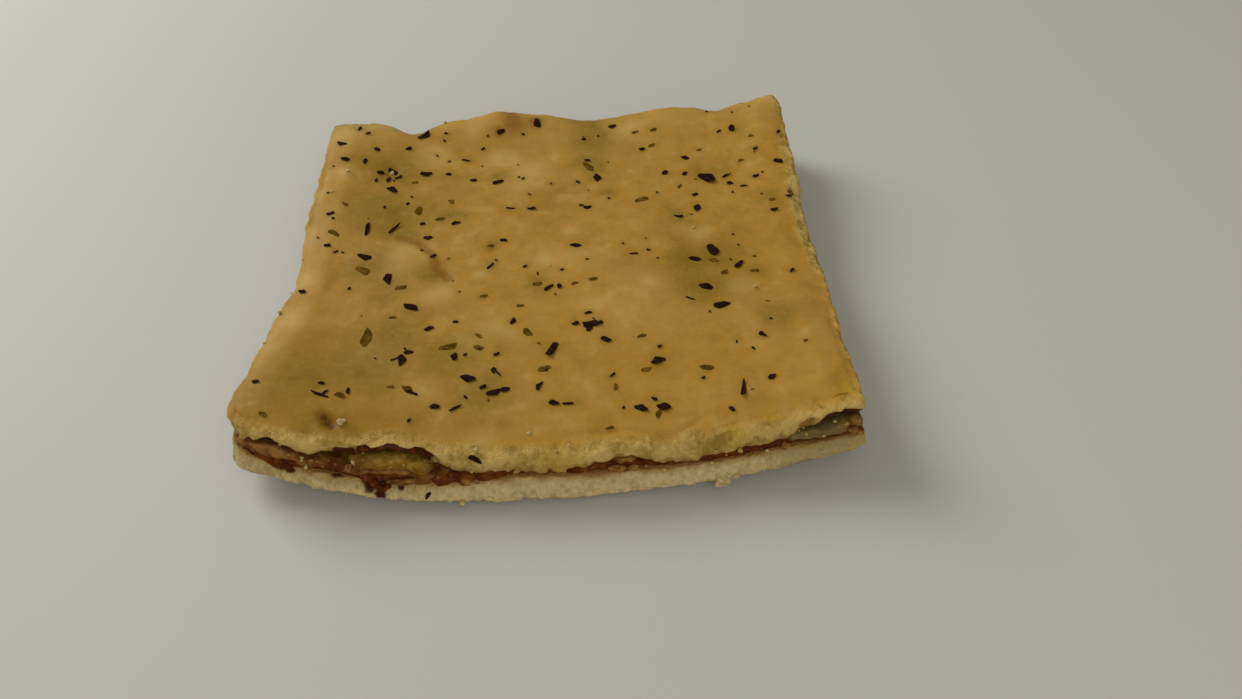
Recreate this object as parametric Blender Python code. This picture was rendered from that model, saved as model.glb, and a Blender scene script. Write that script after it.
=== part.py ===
"""A square slice of stuffed pizza: two sheets of bread, with tomato, ham and cheese between them
and dried herbs baked on the crust. Metres, +Z up. The origin is under the middle of the slice,
on the surface that it lies on. The front, at -Y, is the cut that shows the filling best.

Every layer is a block of one grid, warped to its place. A grid point is (across, along, rise):
across runs from -1 at the left side to 1 at the right, along from -1 at the front to 1 at the
back, and rise from 0 at the layer's underside to 1 at its top. The heights of the layers are
functions of the place (x, y), so that neighbours keep the same gap wherever they run.
"""

import math
import random

import bmesh
import bpy
from mathutils import Matrix, Vector, noise

# Plan of the slice at its underside
HALF_WIDTH = 0.0816
BACK_Y = 0.0790
BACK_SKEW = 0.0022  # the back right corner lies this much further back than the middle
FRONT_CORNER_Y = -0.0710
FRONT_BOW = 0.0094  # how far the front cut bows out between its corners
FRONT_BOW_PEAK = -0.30  # where across the bow is deepest
LEFT_BOW = 0.0024  # how far the left side is drawn in at its middle
LEFT_NOTCH = 0.0016  # how much further it is torn in at one place
LEFT_NOTCH_ALONG = -0.14
LEFT_NOTCH_WIDTH = 0.20
RIGHT_TAPER = 0.0009
CORNER_PULL = 0.010
CORNER_PULL_FRONT_LEFT = (0.014, 0.030)  # added there at the underside and at the rim
CORNER_SHARPNESS = 24

# How far the crust's rim stands in from the underside's outline
LEFT_INSET = 0.0012
RIGHT_INSET = 0.0024
BACK_INSET = 0.0016
FRONT_INSET = 0.0048
FRONT_INSET_RIGHT = 0.0012
FRONT_INSET_LEFT = 0.0056
FRONT_INSET_LEFT_X = -0.038

# The slice has set in the shape of the dish that it lay in: flat in the middle, curled up outside
CURL_CENTRE = Vector((-0.0015, -0.0055))
CURL_FLAT_RADIUS = 0.062
CURL_WIDTH = 0.053
CURL_HEIGHT = 0.0085

# Heights above the underside
BASE_HEIGHT = 0.0052
BASE_SWELL = 0.0024
BASE_SWELL_X = 0.0
BASE_SWELL_WIDTH = 0.030
BASE_INNER_GAIN = 0.0006
BASE_RIGHT_LOSS = 0.0016
BASE_RIGHT_LOSS_X = (0.056, 0.078)  # from nothing at the first to all of it at the second
SAUCE_THICKNESS = 0.0007
HAM_THICKNESS = 0.0008
CHEESE_THICKNESS = 0.0008
GAP = 0.00034
LOOSE_FIT = 0.00026  # added to the gap over the cheese
CRUST_HEIGHT = 0.0170
RIM_ROUNDING = 0.0095  # width of the strip where the crust turns down to its rim
FRONT_DROP = 0.0027
SIDE_DROP = 0.0018
BACK_DROP = 0.0018
RIM_LIFT = 0.5  # share of the drop that is missing where the filling lifts the crust

# The ham and the cheese stop short of the cuts, and the bread closes over them there
FILLING_LEVEL = 0.6
FILLING_RECESS = 0.0068
BREAD_CLOSES = (0.0008, 0.0046)  # closed up to the first distance from a cut, open at the second
OPENS_FROM = 2.8  # the bread is fully open where the nearness to a shown place is 1 / 2.8
COMES_OUT = (0.50, 0.85)  # the filling reaches the cut between these two nearnesses

# Places at the cuts where the filling shows: x, y, reach in x and in y, then how much the base
# sags, the ham folds, the cheese swells and a gap stays open over them
SHOWING = (
    (-0.0680, -0.0740, 0.0085, 0.0075, 0.0003, 0.0028, 0.0000, 0.0012),
    (-0.0530, -0.0750, 0.0070, 0.0075, 0.0004, 0.0006, 0.0006, 0.0004),
    (-0.0380, -0.0765, 0.0115, 0.0085, 0.0014, 0.0000, 0.0036, 0.0022),
    (0.0195, -0.0780, 0.0070, 0.0070, 0.0000, 0.0004, 0.0000, 0.0000),
    (0.0750, -0.0700, 0.0110, 0.0085, 0.0000, 0.0018, 0.0002, 0.0018),
    (0.0800, -0.0180, 0.0080, 0.0130, 0.0000, 0.0000, 0.0012, 0.0004),
    (0.0790, 0.0430, 0.0080, 0.0140, 0.0000, 0.0010, 0.0000, 0.0004),
    (0.0300, 0.0790, 0.0110, 0.0080, 0.0000, 0.0010, 0.0000, 0.0004),
    (-0.0180, 0.0790, 0.0120, 0.0080, 0.0000, 0.0000, 0.0016, 0.0014),
    (-0.0800, 0.0300, 0.0080, 0.0140, 0.0000, 0.0008, 0.0004, 0.0005),
)

# Bubbles (height above 0) and dimples (below 0) of the crust: x, y, radius, height
CRUST_FEATURES = (
    (-0.0416, -0.0040, 0.0075, 0.0016),
    (-0.0677, 0.0240, 0.0120, 0.0011),
    (-0.0166, -0.0340, 0.0055, 0.0009),
    (-0.0006, -0.0551, 0.0045, 0.0006),
    (-0.0385, 0.0790, 0.0050, 0.0016),
    (-0.0245, 0.0770, 0.0095, 0.0036),
    (-0.0100, 0.0790, 0.0140, 0.0032),
    (0.0050, 0.0790, 0.0220, 0.0010),
    (0.0141, 0.0506, 0.0120, 0.0009),
    (0.0400, 0.0770, 0.0120, 0.0022),
    (0.0780, 0.0780, 0.0110, 0.0034),
    (0.0253, -0.0209, 0.0170, 0.0010),
    (0.0660, -0.0373, 0.0150, 0.0009),
    (-0.0530, 0.0770, 0.0072, -0.0054),
    (-0.0790, 0.0780, 0.0140, -0.0018),
    (-0.0569, 0.0474, 0.0035, -0.0012),
    (-0.0447, 0.0187, 0.0100, -0.0009),
    (0.0009, 0.0332, 0.0140, -0.0009),
    (-0.0585, -0.0385, 0.0140, -0.0007),
    (0.0178, 0.0728, 0.0100, -0.0009),
    (0.0503, 0.0014, 0.0120, -0.0007),
    (0.0560, 0.0790, 0.0060, -0.0016),
)
SWELL = 0.0006
SWELL_LENGTH = 0.026
RIPPLE = 0.00025
RIPPLE_LENGTH = 0.010

# Dried herbs that catch the eye: x, y, length, turn in degrees, kind, and how many small ones lie
# around each
HERBS = (
    (-0.0745, 0.0595, 0.0043, -21, "dark", 2),
    (-0.0720, 0.0510, 0.0039, -4, "dark", 1),
    (-0.0560, 0.0480, 0.0050, -62, "dark", 4),
    (-0.0475, 0.0665, 0.0057, 52, "dark", 1),
    (-0.0445, 0.0465, 0.0046, 22, "dark", 2),
    (-0.0200, 0.0410, 0.0040, 24, "dark", 2),
    (-0.0080, 0.0715, 0.0050, -78, "dark", 0),
    (-0.0590, 0.0160, 0.0069, 91, "sliver", 1),
    (-0.0395, 0.0110, 0.0034, 0, "dark", 2),
    (-0.0575, 0.0020, 0.0049, -24, "dark", 0),
    (-0.0485, -0.0095, 0.0057, -66, "dark", 4),
    (-0.0010, -0.0150, 0.0039, 53, "dark", 3),
    (0.0430, 0.0510, 0.0037, -31, "dark", 1),
    (0.0500, 0.0395, 0.0074, -41, "dark", 3),
    (0.0130, 0.0415, 0.0045, -82, "dark", 1),
    (0.0450, 0.0230, 0.0043, 77, "dark", 2),
    (0.0735, 0.0435, 0.0042, -54, "dark", 0),
    (0.0065, 0.0040, 0.0042, 0, "dark", 1),
    (0.0480, 0.0015, 0.0056, -63, "dark", 2),
    (0.0555, -0.0065, 0.0040, 39, "dark", 1),
    (0.0445, -0.0160, 0.0053, -15, "dark", 1),
    (0.0480, -0.0255, 0.0057, 12, "dark", 2),
    (-0.0400, -0.0225, 0.0051, -37, "dark", 1),
    (-0.0510, -0.0335, 0.0077, 93, "olive", 0),
    (-0.0395, -0.0435, 0.0060, 88, "dark", 2),
    (0.0010, -0.0410, 0.0063, 70, "dark", 1),
    (-0.0020, -0.0555, 0.0034, 69, "dark", 2),
    (-0.0210, -0.0515, 0.0047, -22, "dark", 4),
    (0.0115, -0.0320, 0.0053, 5, "dark", 3),
    (0.0295, -0.0470, 0.0046, 9, "dark", 1),
    (0.0300, -0.0635, 0.0048, -11, "dark", 3),
    (0.0580, -0.0560, 0.0033, 26, "dark", 1),
    (-0.0445, 0.0260, 0.0049, 92, "olive", 0),
    (-0.0690, 0.0135, 0.0048, -35, "olive", 1),
    (-0.0570, -0.0045, 0.0067, -20, "olive", 0),
    (0.0100, 0.0480, 0.0051, -53, "olive", 0),
    (0.0275, 0.0285, 0.0054, 30, "olive", 0),
    (-0.0275, -0.0390, 0.0056, 20, "olive", 1),
    (-0.0060, -0.0340, 0.0044, -46, "olive", 0),
    (-0.0365, -0.0545, 0.0046, -32, "olive", 1),
    (0.0420, -0.0495, 0.0041, 0, "olive", 0),
    (0.0505, -0.0595, 0.0080, 81, "sliver", 0),
)
HERB_KINDS = {  # width as a share of the length, and height above the crust
    "dark": (0.62, 0.00060),
    "olive": (0.56, 0.00042),
    "sliver": (0.22, 0.00050),
}
SMALL_HERB_SPREAD = 0.0042
SMALL_HERB_LENGTH = (0.0010, 0.0033)
SMALL_HERBS_DARK = 0.6  # share of the small flakes that are dark, the others being olive
HERB_SINGLES = 105
HERB_FIELD = (-0.0755, 0.0755, -0.0680, 0.0745)  # least and most x, then least and most y
HERB_SPACING = 0.0050
HERB_SEED = 41
HERB_SIDES = 5
SOLID_HERBS = 68  # the largest flakes, which are fused to the crust
SOLID_HERB_SPACING = 0.60  # least distance between two of them, in units of their lengths' sum
HERB_ROOT = 0.0008

GRID = (24, 14)  # cells across and along
CROWDING = (0.15, 0.55)  # how much closer the grid lines lie at the sides, across and along
CRAG = 0.0006
CRAG_LENGTH = 0.009

COLOURS = {
    "bread_base": ((0.36, 0.26, 0.11), 0.85),
    "tomato_sauce": ((0.12, 0.02, 0.005), 0.40),
    "ham": ((0.28, 0.12, 0.07), 0.45),
    "cheese": ((0.40, 0.27, 0.08), 0.35),
    "bread_top": ((0.42, 0.24, 0.06), 0.55),
}


def clear_scene():
    for thing in list(bpy.data.objects):
        bpy.data.objects.remove(thing, do_unlink=True)


def smooth_step(t):
    t = min(max(t, 0.0), 1.0)
    return t * t * (3 - 2 * t)


def bump(distance, width):
    return math.exp(-((distance / width) ** 2))


# Plan


def front_line(across):
    """Y of the front cut at the underside."""
    if across < FRONT_BOW_PEAK:
        share = (across + 1) / (FRONT_BOW_PEAK + 1)
    else:
        share = (1 - across) / (1 - FRONT_BOW_PEAK)
    return FRONT_CORNER_Y - FRONT_BOW * math.sin(math.pi / 2 * max(share, 0)) ** 0.85


def front_inset(across, level):
    """How far back the front cut leans at a level. Over the left pocket the crust is torn back."""
    left = FRONT_INSET_LEFT * bump(across * HALF_WIDTH - FRONT_INSET_LEFT_X, 0.015)
    right = FRONT_INSET_RIGHT * smooth_step((across - 0.5) / 0.3)
    return (FRONT_INSET + right) * level + left * level**2


def sides(across, along, level):
    """The y of the front, the y of the back, the x of the left side and the x of the right.

    level runs from 0, the underside, to 1, the crust's rim.
    """
    front = front_line(across) + front_inset(across, level)
    back = BACK_Y + BACK_SKEW * across - BACK_INSET * level
    notch = LEFT_NOTCH * bump(along - LEFT_NOTCH_ALONG, LEFT_NOTCH_WIDTH)
    left = -HALF_WIDTH + LEFT_BOW * (1 - along**2) + notch + LEFT_INSET * level
    right = HALF_WIDTH - RIGHT_TAPER * (1 + along) - RIGHT_INSET * level
    return front, back, left, right


def plan(across, along, level):
    """(x, y) of a grid point, with the corners of the slice pulled in a little."""
    front_left = (1 - across) / 2 * (1 - along) / 2
    at_underside, at_rim = CORNER_PULL_FRONT_LEFT
    pull = CORNER_PULL + (at_underside + (at_rim - at_underside) * level) * front_left
    scale = 1 - pull * abs(across * along) ** CORNER_SHARPNESS
    across, along = across * scale, along * scale
    front, back, left, right = sides(across, along, level)
    return left + (right - left) * (across + 1) / 2, front + (back - front) * (along + 1) / 2


def depths(x, y, level):
    """How far (x, y) lies inside the front, the back, the left side and the right side."""
    across = min(max(x / HALF_WIDTH, -1), 1)
    along = min(max(y / HALF_WIDTH, -1), 1)
    front, back, left, right = sides(across, along, level)
    return y - front, back - y, x - left, right - x


# Heights


def curl(x, y):
    """Height of the slice's underside over the surface that it lies on."""
    distance = (Vector((x, y)) - CURL_CENTRE).length
    return CURL_HEIGHT * smooth_step((distance - CURL_FLAT_RADIUS) / CURL_WIDTH)


def shown(x, y):
    """The sag, fold, swelling and gap of the filling where it shows, and how near its middle is."""
    amounts, fullest = [0.0] * 4, 0.0
    for centre_x, centre_y, reach_x, reach_y, *place in SHOWING:
        near = bump(x - centre_x, reach_x) * bump(y - centre_y, reach_y)
        amounts = [amount + near * extra for amount, extra in zip(amounts, place)]
        fullest = max(fullest, near)
    return *amounts, fullest


def coming_out(x, y):
    """0 where the ham and the cheese stop short of the cut, 1 where they reach it."""
    start, end = COMES_OUT
    return smooth_step((shown(x, y)[4] - start) / (end - start))


def base_top(x, y):
    start, end = BASE_RIGHT_LOSS_X
    height = BASE_HEIGHT + BASE_SWELL * bump(x - BASE_SWELL_X, BASE_SWELL_WIDTH)
    height += BASE_INNER_GAIN * (1 - (y / HALF_WIDTH) ** 4)
    return height - BASE_RIGHT_LOSS * smooth_step((x - start) / (end - start)) - shown(x, y)[0]


def sauce_top(x, y):
    return base_top(x, y) + GAP + SAUCE_THICKNESS


def ham_top(x, y):
    return sauce_top(x, y) + GAP + HAM_THICKNESS + shown(x, y)[1]


def cheese_top(x, y):
    return ham_top(x, y) + GAP + CHEESE_THICKNESS + shown(x, y)[2]


def roof(x, y):
    """The underside of the upper bread, which closes down on the sauce along the cuts."""
    closed, opened = BREAD_CLOSES
    inside = smooth_step((min(depths(x, y, FILLING_LEVEL)) - closed) / (opened - closed))
    inside = max(inside, smooth_step(OPENS_FROM * shown(x, y)[4]))
    low, high = sauce_top(x, y), cheese_top(x, y) + shown(x, y)[3] + LOOSE_FIT
    return low + (high - low) * inside + GAP


def crust_relief(x, y):
    """Bubbles, dimples and the dough's own unevenness."""
    relief = SWELL * noise.noise(Vector((x, y, 0)) / SWELL_LENGTH)
    relief += RIPPLE * noise.noise(Vector((x, y, 0.5)) / RIPPLE_LENGTH)
    for centre_x, centre_y, radius, height in CRUST_FEATURES:
        relief += height * bump(math.hypot(x - centre_x, y - centre_y), radius)
    return relief


def crust(x, y):
    """The crust's height over the underside. It turns down to its rim along all four sides."""
    drops = (FRONT_DROP, BACK_DROP, SIDE_DROP, SIDE_DROP)
    turned_down = max(
        drop * (1 - smooth_step(depth / RIM_ROUNDING))
        for drop, depth in zip(drops, depths(x, y, 1))
    )
    return CRUST_HEIGHT - turned_down * (1 - RIM_LIFT * shown(x, y)[4]) + crust_relief(x, y)


# Layers


def material(name):
    colour, roughness = COLOURS[name]
    made = bpy.data.materials.new(name)
    made.use_nodes = True
    shader = made.node_tree.nodes["Principled BSDF"]
    shader.inputs["Base Color"].default_value = (*colour, 1)
    shader.inputs["Roughness"].default_value = roughness
    return made


def crowded(t, crowding):
    """Moves grid lines towards the sides, where the shape changes fastest."""
    return t * (1 - crowding) + math.sin(t * math.pi / 2) * crowding


def unit_block(wall_cuts, top_cuts):
    """A closed block of grid points (across, along, rise), with a finer top if top_cuts is over 0."""
    block = bmesh.new()
    bmesh.ops.create_grid(block, x_segments=GRID[0], y_segments=GRID[1], size=1.0)
    raised = bmesh.ops.extrude_face_region(block, geom=list(block.faces))["geom"]
    for part in raised:
        if isinstance(part, bmesh.types.BMVert):
            part.co.z = 1.0
    if wall_cuts:
        uprights = [e for e in block.edges if abs(e.verts[0].co.z - e.verts[1].co.z) > 0.5]
        bmesh.ops.subdivide_edges(block, edges=uprights, cuts=wall_cuts, use_grid_fill=True)
    if top_cuts:
        upper = [e for e in block.edges if min(v.co.z for v in e.verts) > 0.999]
        bmesh.ops.subdivide_edges(block, edges=upper, cuts=top_cuts, use_grid_fill=True)
    bmesh.ops.recalc_face_normals(block, faces=list(block.faces))
    return block


def layer(name, levels, bottom, top, wall_cuts=0, top_cuts=0, bulge=0.0, recess=0.0):
    """A layer between two height functions of (x, y).

    levels are the plan levels of its underside and its top. bulge pushes the middle of its walls
    out, and recess draws its outline in where the filling doesn't show.
    """
    block = unit_block(wall_cuts, top_cuts)
    for point in block.verts:
        across, along = crowded(point.co.x, CROWDING[0]), crowded(point.co.y, CROWDING[1])
        rise = point.co.z
        level = levels[0] + (levels[1] - levels[0]) * rise
        x, y = plan(across, along, level)
        outwards = bulge * 4 * rise * (1 - rise) - recess * (1 - coming_out(x, y))
        outwards += CRAG * noise.noise(Vector((x, y, level * 0.03)) / CRAG_LENGTH)
        scale = 1 + max(abs(across), abs(along)) ** 8 * outwards / HALF_WIDTH
        x, y = x * scale, y * scale
        low, high = bottom(x, y), top(x, y)
        point.co = (x, y, curl(x, y) + low + (high - low) * rise)
    mesh = bpy.data.meshes.new(name)
    block.to_mesh(mesh)
    block.free()
    mesh.materials.append(material(name))
    made = bpy.data.objects.new(name, mesh)
    bpy.context.scene.collection.objects.link(made)
    return made


def above(lower):
    """The height function that keeps a gap over another."""
    return lambda x, y: lower(x, y) + GAP


# Herbs


def in_field(x, y):
    """The place itself, or the nearest one in the field that the herbs lie in."""
    least_x, most_x, least_y, most_y = HERB_FIELD
    return min(max(x, least_x), most_x), min(max(y, least_y), most_y)


def herb_flakes():
    """Every flake as (x, y, length, width, turn, kind), the largest first."""
    draw = random.Random(HERB_SEED)
    flakes, around = [], []
    for x, y, length, turn, kind, companions in HERBS:
        flakes.append((x, y, length, length * HERB_KINDS[kind][0], math.radians(turn), kind))
        for _ in range(companions):
            spot = draw.gauss(x, SMALL_HERB_SPREAD), draw.gauss(y, SMALL_HERB_SPREAD)
            around.append(in_field(*spot))
    least_x, most_x, least_y, most_y = HERB_FIELD
    taken = around + [flake[:2] for flake in flakes]
    singles = []
    while len(singles) < HERB_SINGLES:
        spot = draw.uniform(least_x, most_x), draw.uniform(least_y, most_y)
        if all(math.dist(spot, other) > HERB_SPACING for other in taken + singles):
            singles.append(spot)
    shortest, longest = SMALL_HERB_LENGTH
    for x, y in around + singles:
        length = shortest + (longest - shortest) * draw.random() ** 1.8
        kind = "dark" if draw.random() < SMALL_HERBS_DARK else "olive"
        width = length * HERB_KINDS[kind][0] * draw.uniform(0.7, 1.3)
        flakes.append((x, y, length, width, draw.uniform(0, math.pi), kind))
    return sorted(flakes, key=lambda flake: -flake[2])


def flake_solid(number, flake, draw, bread, group):
    """A chip with uneven sides, sunk into the crust so that only its upper part shows."""
    x, y, length, width, turn, kind = flake
    height = HERB_KINDS[kind][1]
    _, here, upright, _ = bread.ray_cast(Vector((x, y, 1)), Vector((0, 0, -1)))
    chip = bmesh.new()
    bmesh.ops.create_cone(
        chip, segments=HERB_SIDES, radius1=0.5, radius2=0.42, depth=1, cap_ends=True, cap_tris=False
    )
    for corner in chip.verts:
        corner.co.xy *= draw.uniform(0.75, 1.2)
    size = Matrix.Diagonal((length, width, height + HERB_ROOT, 1))
    lean = Vector((0, 0, 1)).rotation_difference(upright).to_matrix().to_4x4()
    middle = Matrix.Translation(here + upright * (height - HERB_ROOT) / 2)
    chip.transform(middle @ lean @ Matrix.Rotation(turn, 4, "Z") @ size)
    mesh = bpy.data.meshes.new("flake")
    chip.to_mesh(mesh)
    chip.free()
    group.objects.link(bpy.data.objects.new(f"flake_{number}", mesh))


def solid_flakes():
    """The largest flakes that lie clear of one another, so that each is fused on its own."""
    kept = []
    for flake in herb_flakes():
        clear = all(
            math.dist(flake[:2], other[:2]) > SOLID_HERB_SPACING * (flake[2] + other[2])
            for other in kept
        )
        if clear and len(kept) < SOLID_HERBS:
            kept.append(flake)
    return kept


def fuse_herbs(bread):
    """Joins the largest flakes to the crust with one union."""
    group = bpy.data.collections.new("flakes")
    bpy.context.scene.collection.children.link(group)
    draw = random.Random(HERB_SEED + 1)
    bpy.context.view_layer.update()
    for number, flake in enumerate(solid_flakes()):
        flake_solid(number, flake, draw, bread, group)
    union = bread.modifiers.new("herbs", "BOOLEAN")
    union.operation = "UNION"
    union.operand_type = "COLLECTION"
    union.collection = group
    union.solver = "EXACT"
    bpy.context.view_layer.update()
    graph = bpy.context.evaluated_depsgraph_get()
    fused = bpy.data.meshes.new_from_object(bread.evaluated_get(graph))
    bread.modifiers.clear()
    bread.data = fused
    for flake in list(group.objects):
        bpy.data.objects.remove(flake, do_unlink=True)
    bpy.data.collections.remove(group)


# Assembly


def make_bread_base():
    return layer("bread_base", (0.0, 0.42), lambda x, y: 0.0, base_top, wall_cuts=1, bulge=0.0006)


def make_tomato_sauce():
    return layer("tomato_sauce", (0.45, 0.48), above(base_top), sauce_top)


def make_ham():
    return layer("ham", (0.51, 0.55), above(sauce_top), ham_top, recess=FILLING_RECESS)


def make_cheese():
    return layer("cheese", (0.57, 0.62), above(ham_top), cheese_top, recess=FILLING_RECESS)


def make_bread_top():
    made = layer("bread_top", (0.70, 1.0), roof, crust, wall_cuts=1, top_cuts=1, bulge=0.0008)
    fuse_herbs(made)
    return made


def main():
    clear_scene()
    pieces = [make_bread_base(), make_tomato_sauce(), make_ham(), make_cheese(), make_bread_top()]
    whole = bpy.data.collections.new("stuffed_pizza_slice")
    bpy.context.scene.collection.children.link(whole)
    for piece in pieces:
        bpy.context.scene.collection.objects.unlink(piece)
        whole.objects.link(piece)


main()
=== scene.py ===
"""Looks of a square slice of stuffed pizza: golden crust with dried herbs, torn crumb at the cuts,
and tomato, ham and melted cheese between the two breads. Metres, in the frame of the solids.
"""

import math
import random

import bmesh
import bpy
import numpy as np
from bpy.props import FloatProperty, FloatVectorProperty, IntProperty, PointerProperty
from mathutils import Matrix, Vector, noise


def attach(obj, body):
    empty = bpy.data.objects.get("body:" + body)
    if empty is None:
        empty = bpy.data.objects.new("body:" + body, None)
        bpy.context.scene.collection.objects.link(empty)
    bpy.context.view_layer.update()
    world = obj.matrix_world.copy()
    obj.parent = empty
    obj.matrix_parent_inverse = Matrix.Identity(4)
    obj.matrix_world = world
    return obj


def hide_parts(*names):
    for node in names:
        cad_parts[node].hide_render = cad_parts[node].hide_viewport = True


bl_info = {
    "name": "Stuffed pizza slice",
    "version": (1, 0, 0),
    "blender": (4, 5, 0),
    "location": "View3D > Sidebar > Pizza slice",
    "description": "Dresses the solids of a slice of stuffed pizza with crust, crumb, filling and herbs",
    "category": "Object",
}

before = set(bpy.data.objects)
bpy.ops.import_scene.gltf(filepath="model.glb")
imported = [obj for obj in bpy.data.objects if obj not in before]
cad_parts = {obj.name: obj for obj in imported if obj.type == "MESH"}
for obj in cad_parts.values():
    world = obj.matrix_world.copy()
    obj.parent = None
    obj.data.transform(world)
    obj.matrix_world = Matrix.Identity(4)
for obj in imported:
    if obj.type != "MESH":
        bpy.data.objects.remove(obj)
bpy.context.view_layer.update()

# Plan of the slice, as in its solids
HALF_WIDTH = 0.0816
BACK_Y = 0.0790
BACK_SKEW = 0.0022
FRONT_CORNER_Y = -0.0710
FRONT_BOW = 0.0094
FRONT_BOW_PEAK = -0.30
LEFT_BOW = 0.0024
LEFT_NOTCH = 0.0016
LEFT_NOTCH_ALONG = -0.14
LEFT_NOTCH_WIDTH = 0.20
RIGHT_TAPER = 0.0009
CORNER_PULL = 0.010
CORNER_PULL_FRONT_LEFT = (0.014, 0.030)
CORNER_SHARPNESS = 24
LEFT_INSET = 0.0012
RIGHT_INSET = 0.0024
BACK_INSET = 0.0016
FRONT_INSET = 0.0048
FRONT_INSET_RIGHT = 0.0012
FRONT_INSET_LEFT = 0.0056
FRONT_INSET_LEFT_X = -0.038

# Heights of the layers, as in the solids
CURL_CENTRE = (-0.0015, -0.0055)
CURL_FLAT_RADIUS = 0.062
CURL_WIDTH = 0.053
CURL_HEIGHT = 0.0085
BASE_HEIGHT = 0.0052
BASE_SWELL = 0.0024
BASE_SWELL_X = 0.0
BASE_SWELL_WIDTH = 0.030
BASE_INNER_GAIN = 0.0006
BASE_RIGHT_LOSS = 0.0016
BASE_RIGHT_LOSS_X = (0.056, 0.078)
SAUCE_THICKNESS = 0.0007
HAM_THICKNESS = 0.0008
CHEESE_THICKNESS = 0.0008
GAP = 0.00034
LOOSE_FIT = 0.00026
CRUST_HEIGHT = 0.0170
RIM_ROUNDING = 0.0095
FRONT_DROP = 0.0027
SIDE_DROP = 0.0018
BACK_DROP = 0.0018
RIM_LIFT = 0.5
FILLING_LEVEL = 0.6
FILLING_RECESS = 0.0068
BREAD_CLOSES = (0.0008, 0.0046)
OPENS_FROM = 2.8
COMES_OUT = (0.50, 0.85)
CRAG = 0.0006
CRAG_LENGTH = 0.009
SWELL = 0.0006
SWELL_LENGTH = 0.026
RIPPLE = 0.00036
RIPPLE_LENGTH = 0.010
DIMPLES = 0.00010
DIMPLES_LENGTH = 0.0042

# The cuts of the two breads, as shares of the height, and how fast their relief dies away inwards
LOWER_BREAD_TO = 0.42
UPPER_BREAD_FROM = 0.70
NEAR_WALL = 0.0012
BESIDE_WALL = 0.003
AROUND_WALL = 0.006
UPPER_BULGE = 0.0008
LOWER_BULGE = 0.0006
UPPER_LUMPS = 0.00085
LOWER_LUMPS = 0.00030
RIM_TURNS_FROM = 0.66
RIM_TUCK = 0.0014
RIM_SINK = 0.0008
RIM_SINK_REACH = 0.0016
LOWER_TURNS_TO = 0.4
LOWER_TUCK = 0.0009
# The upper bread's lower edge hangs over the filling
HANGS = 0.0012
HANGS_UNEVENLY = 0.0006
HANGS_LENGTH = 0.003
# Where the crust ends, raggedly, and over which width it turns into crumb
RAGGED = 0.0022
RAGGED_LENGTH = 0.008
CRUST_FADES = 0.0095
# Dents of the underside, and the lumps of LIP_LUMPS: a factor on their depth, their reach up the cut
UNDER_DENTS = 0.00025
UNDER_DENTS_LENGTH = 0.006
LIP_LUMP_SCALE = 1.3
LIP_LUMP_RISE = 0.22
# What lies at the front: the cut by its y, a little more of the slice, and the wall's grid points
FRONT_CUT = -0.06
FRONT_PART = -0.05
FRONT_WALL = -0.99
LOWER_BREAD_CELLS = 100
FILLING_CELLS = 60
FILLING_ROWS = 10
# Where the crust is torn away from the rim: x, y, reach in x and in y, width. The first runs all
# along the front.
LEAST_TORN = 0.0002
TORN_RIM = (
    (0, -0.078, math.inf, 0.012, 0.0034),
    (0.081, 0.022, 0.010, 0.034, 0.0068),
    (0.080, 0.078, 0.010, 0.010, 0.0020),
)

# Places at the cuts where the filling shows: x, y, reach in x and in y, then how much the base
# sags, the ham folds, the cheese swells and a gap stays open over them
SHOWING = (
    (-0.0680, -0.0740, 0.0085, 0.0075, 0.0003, 0.0028, 0.0000, 0.0012),
    (-0.0530, -0.0750, 0.0070, 0.0075, 0.0004, 0.0006, 0.0006, 0.0004),
    (-0.0380, -0.0765, 0.0115, 0.0085, 0.0014, 0.0000, 0.0036, 0.0022),
    (0.0195, -0.0780, 0.0070, 0.0070, 0.0000, 0.0004, 0.0000, 0.0000),
    (0.0750, -0.0700, 0.0110, 0.0085, 0.0000, 0.0018, 0.0002, 0.0018),
    (0.0800, -0.0180, 0.0080, 0.0130, 0.0000, 0.0000, 0.0012, 0.0004),
    (0.0790, 0.0430, 0.0080, 0.0140, 0.0000, 0.0010, 0.0000, 0.0004),
    (0.0300, 0.0790, 0.0110, 0.0080, 0.0000, 0.0010, 0.0000, 0.0004),
    (-0.0180, 0.0790, 0.0120, 0.0080, 0.0000, 0.0000, 0.0016, 0.0014),
    (-0.0800, 0.0300, 0.0080, 0.0140, 0.0000, 0.0008, 0.0004, 0.0005),
)

# Bubbles (height above 0) and dimples (below 0) of the crust: x, y, radius, height
CRUST_FEATURES = (
    (-0.0416, -0.0040, 0.0075, 0.0016),
    (-0.0677, 0.0240, 0.0120, 0.0011),
    (-0.0166, -0.0340, 0.0055, 0.0009),
    (-0.0006, -0.0551, 0.0045, 0.0006),
    (-0.0385, 0.0790, 0.0050, 0.0016),
    (-0.0245, 0.0770, 0.0095, 0.0036),
    (-0.0100, 0.0790, 0.0140, 0.0032),
    (0.0050, 0.0790, 0.0220, 0.0010),
    (0.0141, 0.0506, 0.0120, 0.0009),
    (0.0400, 0.0770, 0.0120, 0.0022),
    (0.0780, 0.0780, 0.0110, 0.0034),
    (0.0253, -0.0209, 0.0170, 0.0010),
    (0.0660, -0.0373, 0.0150, 0.0009),
    (-0.0530, 0.0770, 0.0072, -0.0054),
    (-0.0790, 0.0780, 0.0140, -0.0018),
    (-0.0569, 0.0474, 0.0035, -0.0012),
    (-0.0447, 0.0187, 0.0100, -0.0009),
    (0.0009, 0.0332, 0.0140, -0.0009),
    (-0.0585, -0.0385, 0.0140, -0.0007),
    (0.0178, 0.0728, 0.0100, -0.0009),
    (0.0503, 0.0014, 0.0120, -0.0007),
    (0.0560, 0.0790, 0.0060, -0.0016),
)

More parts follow.
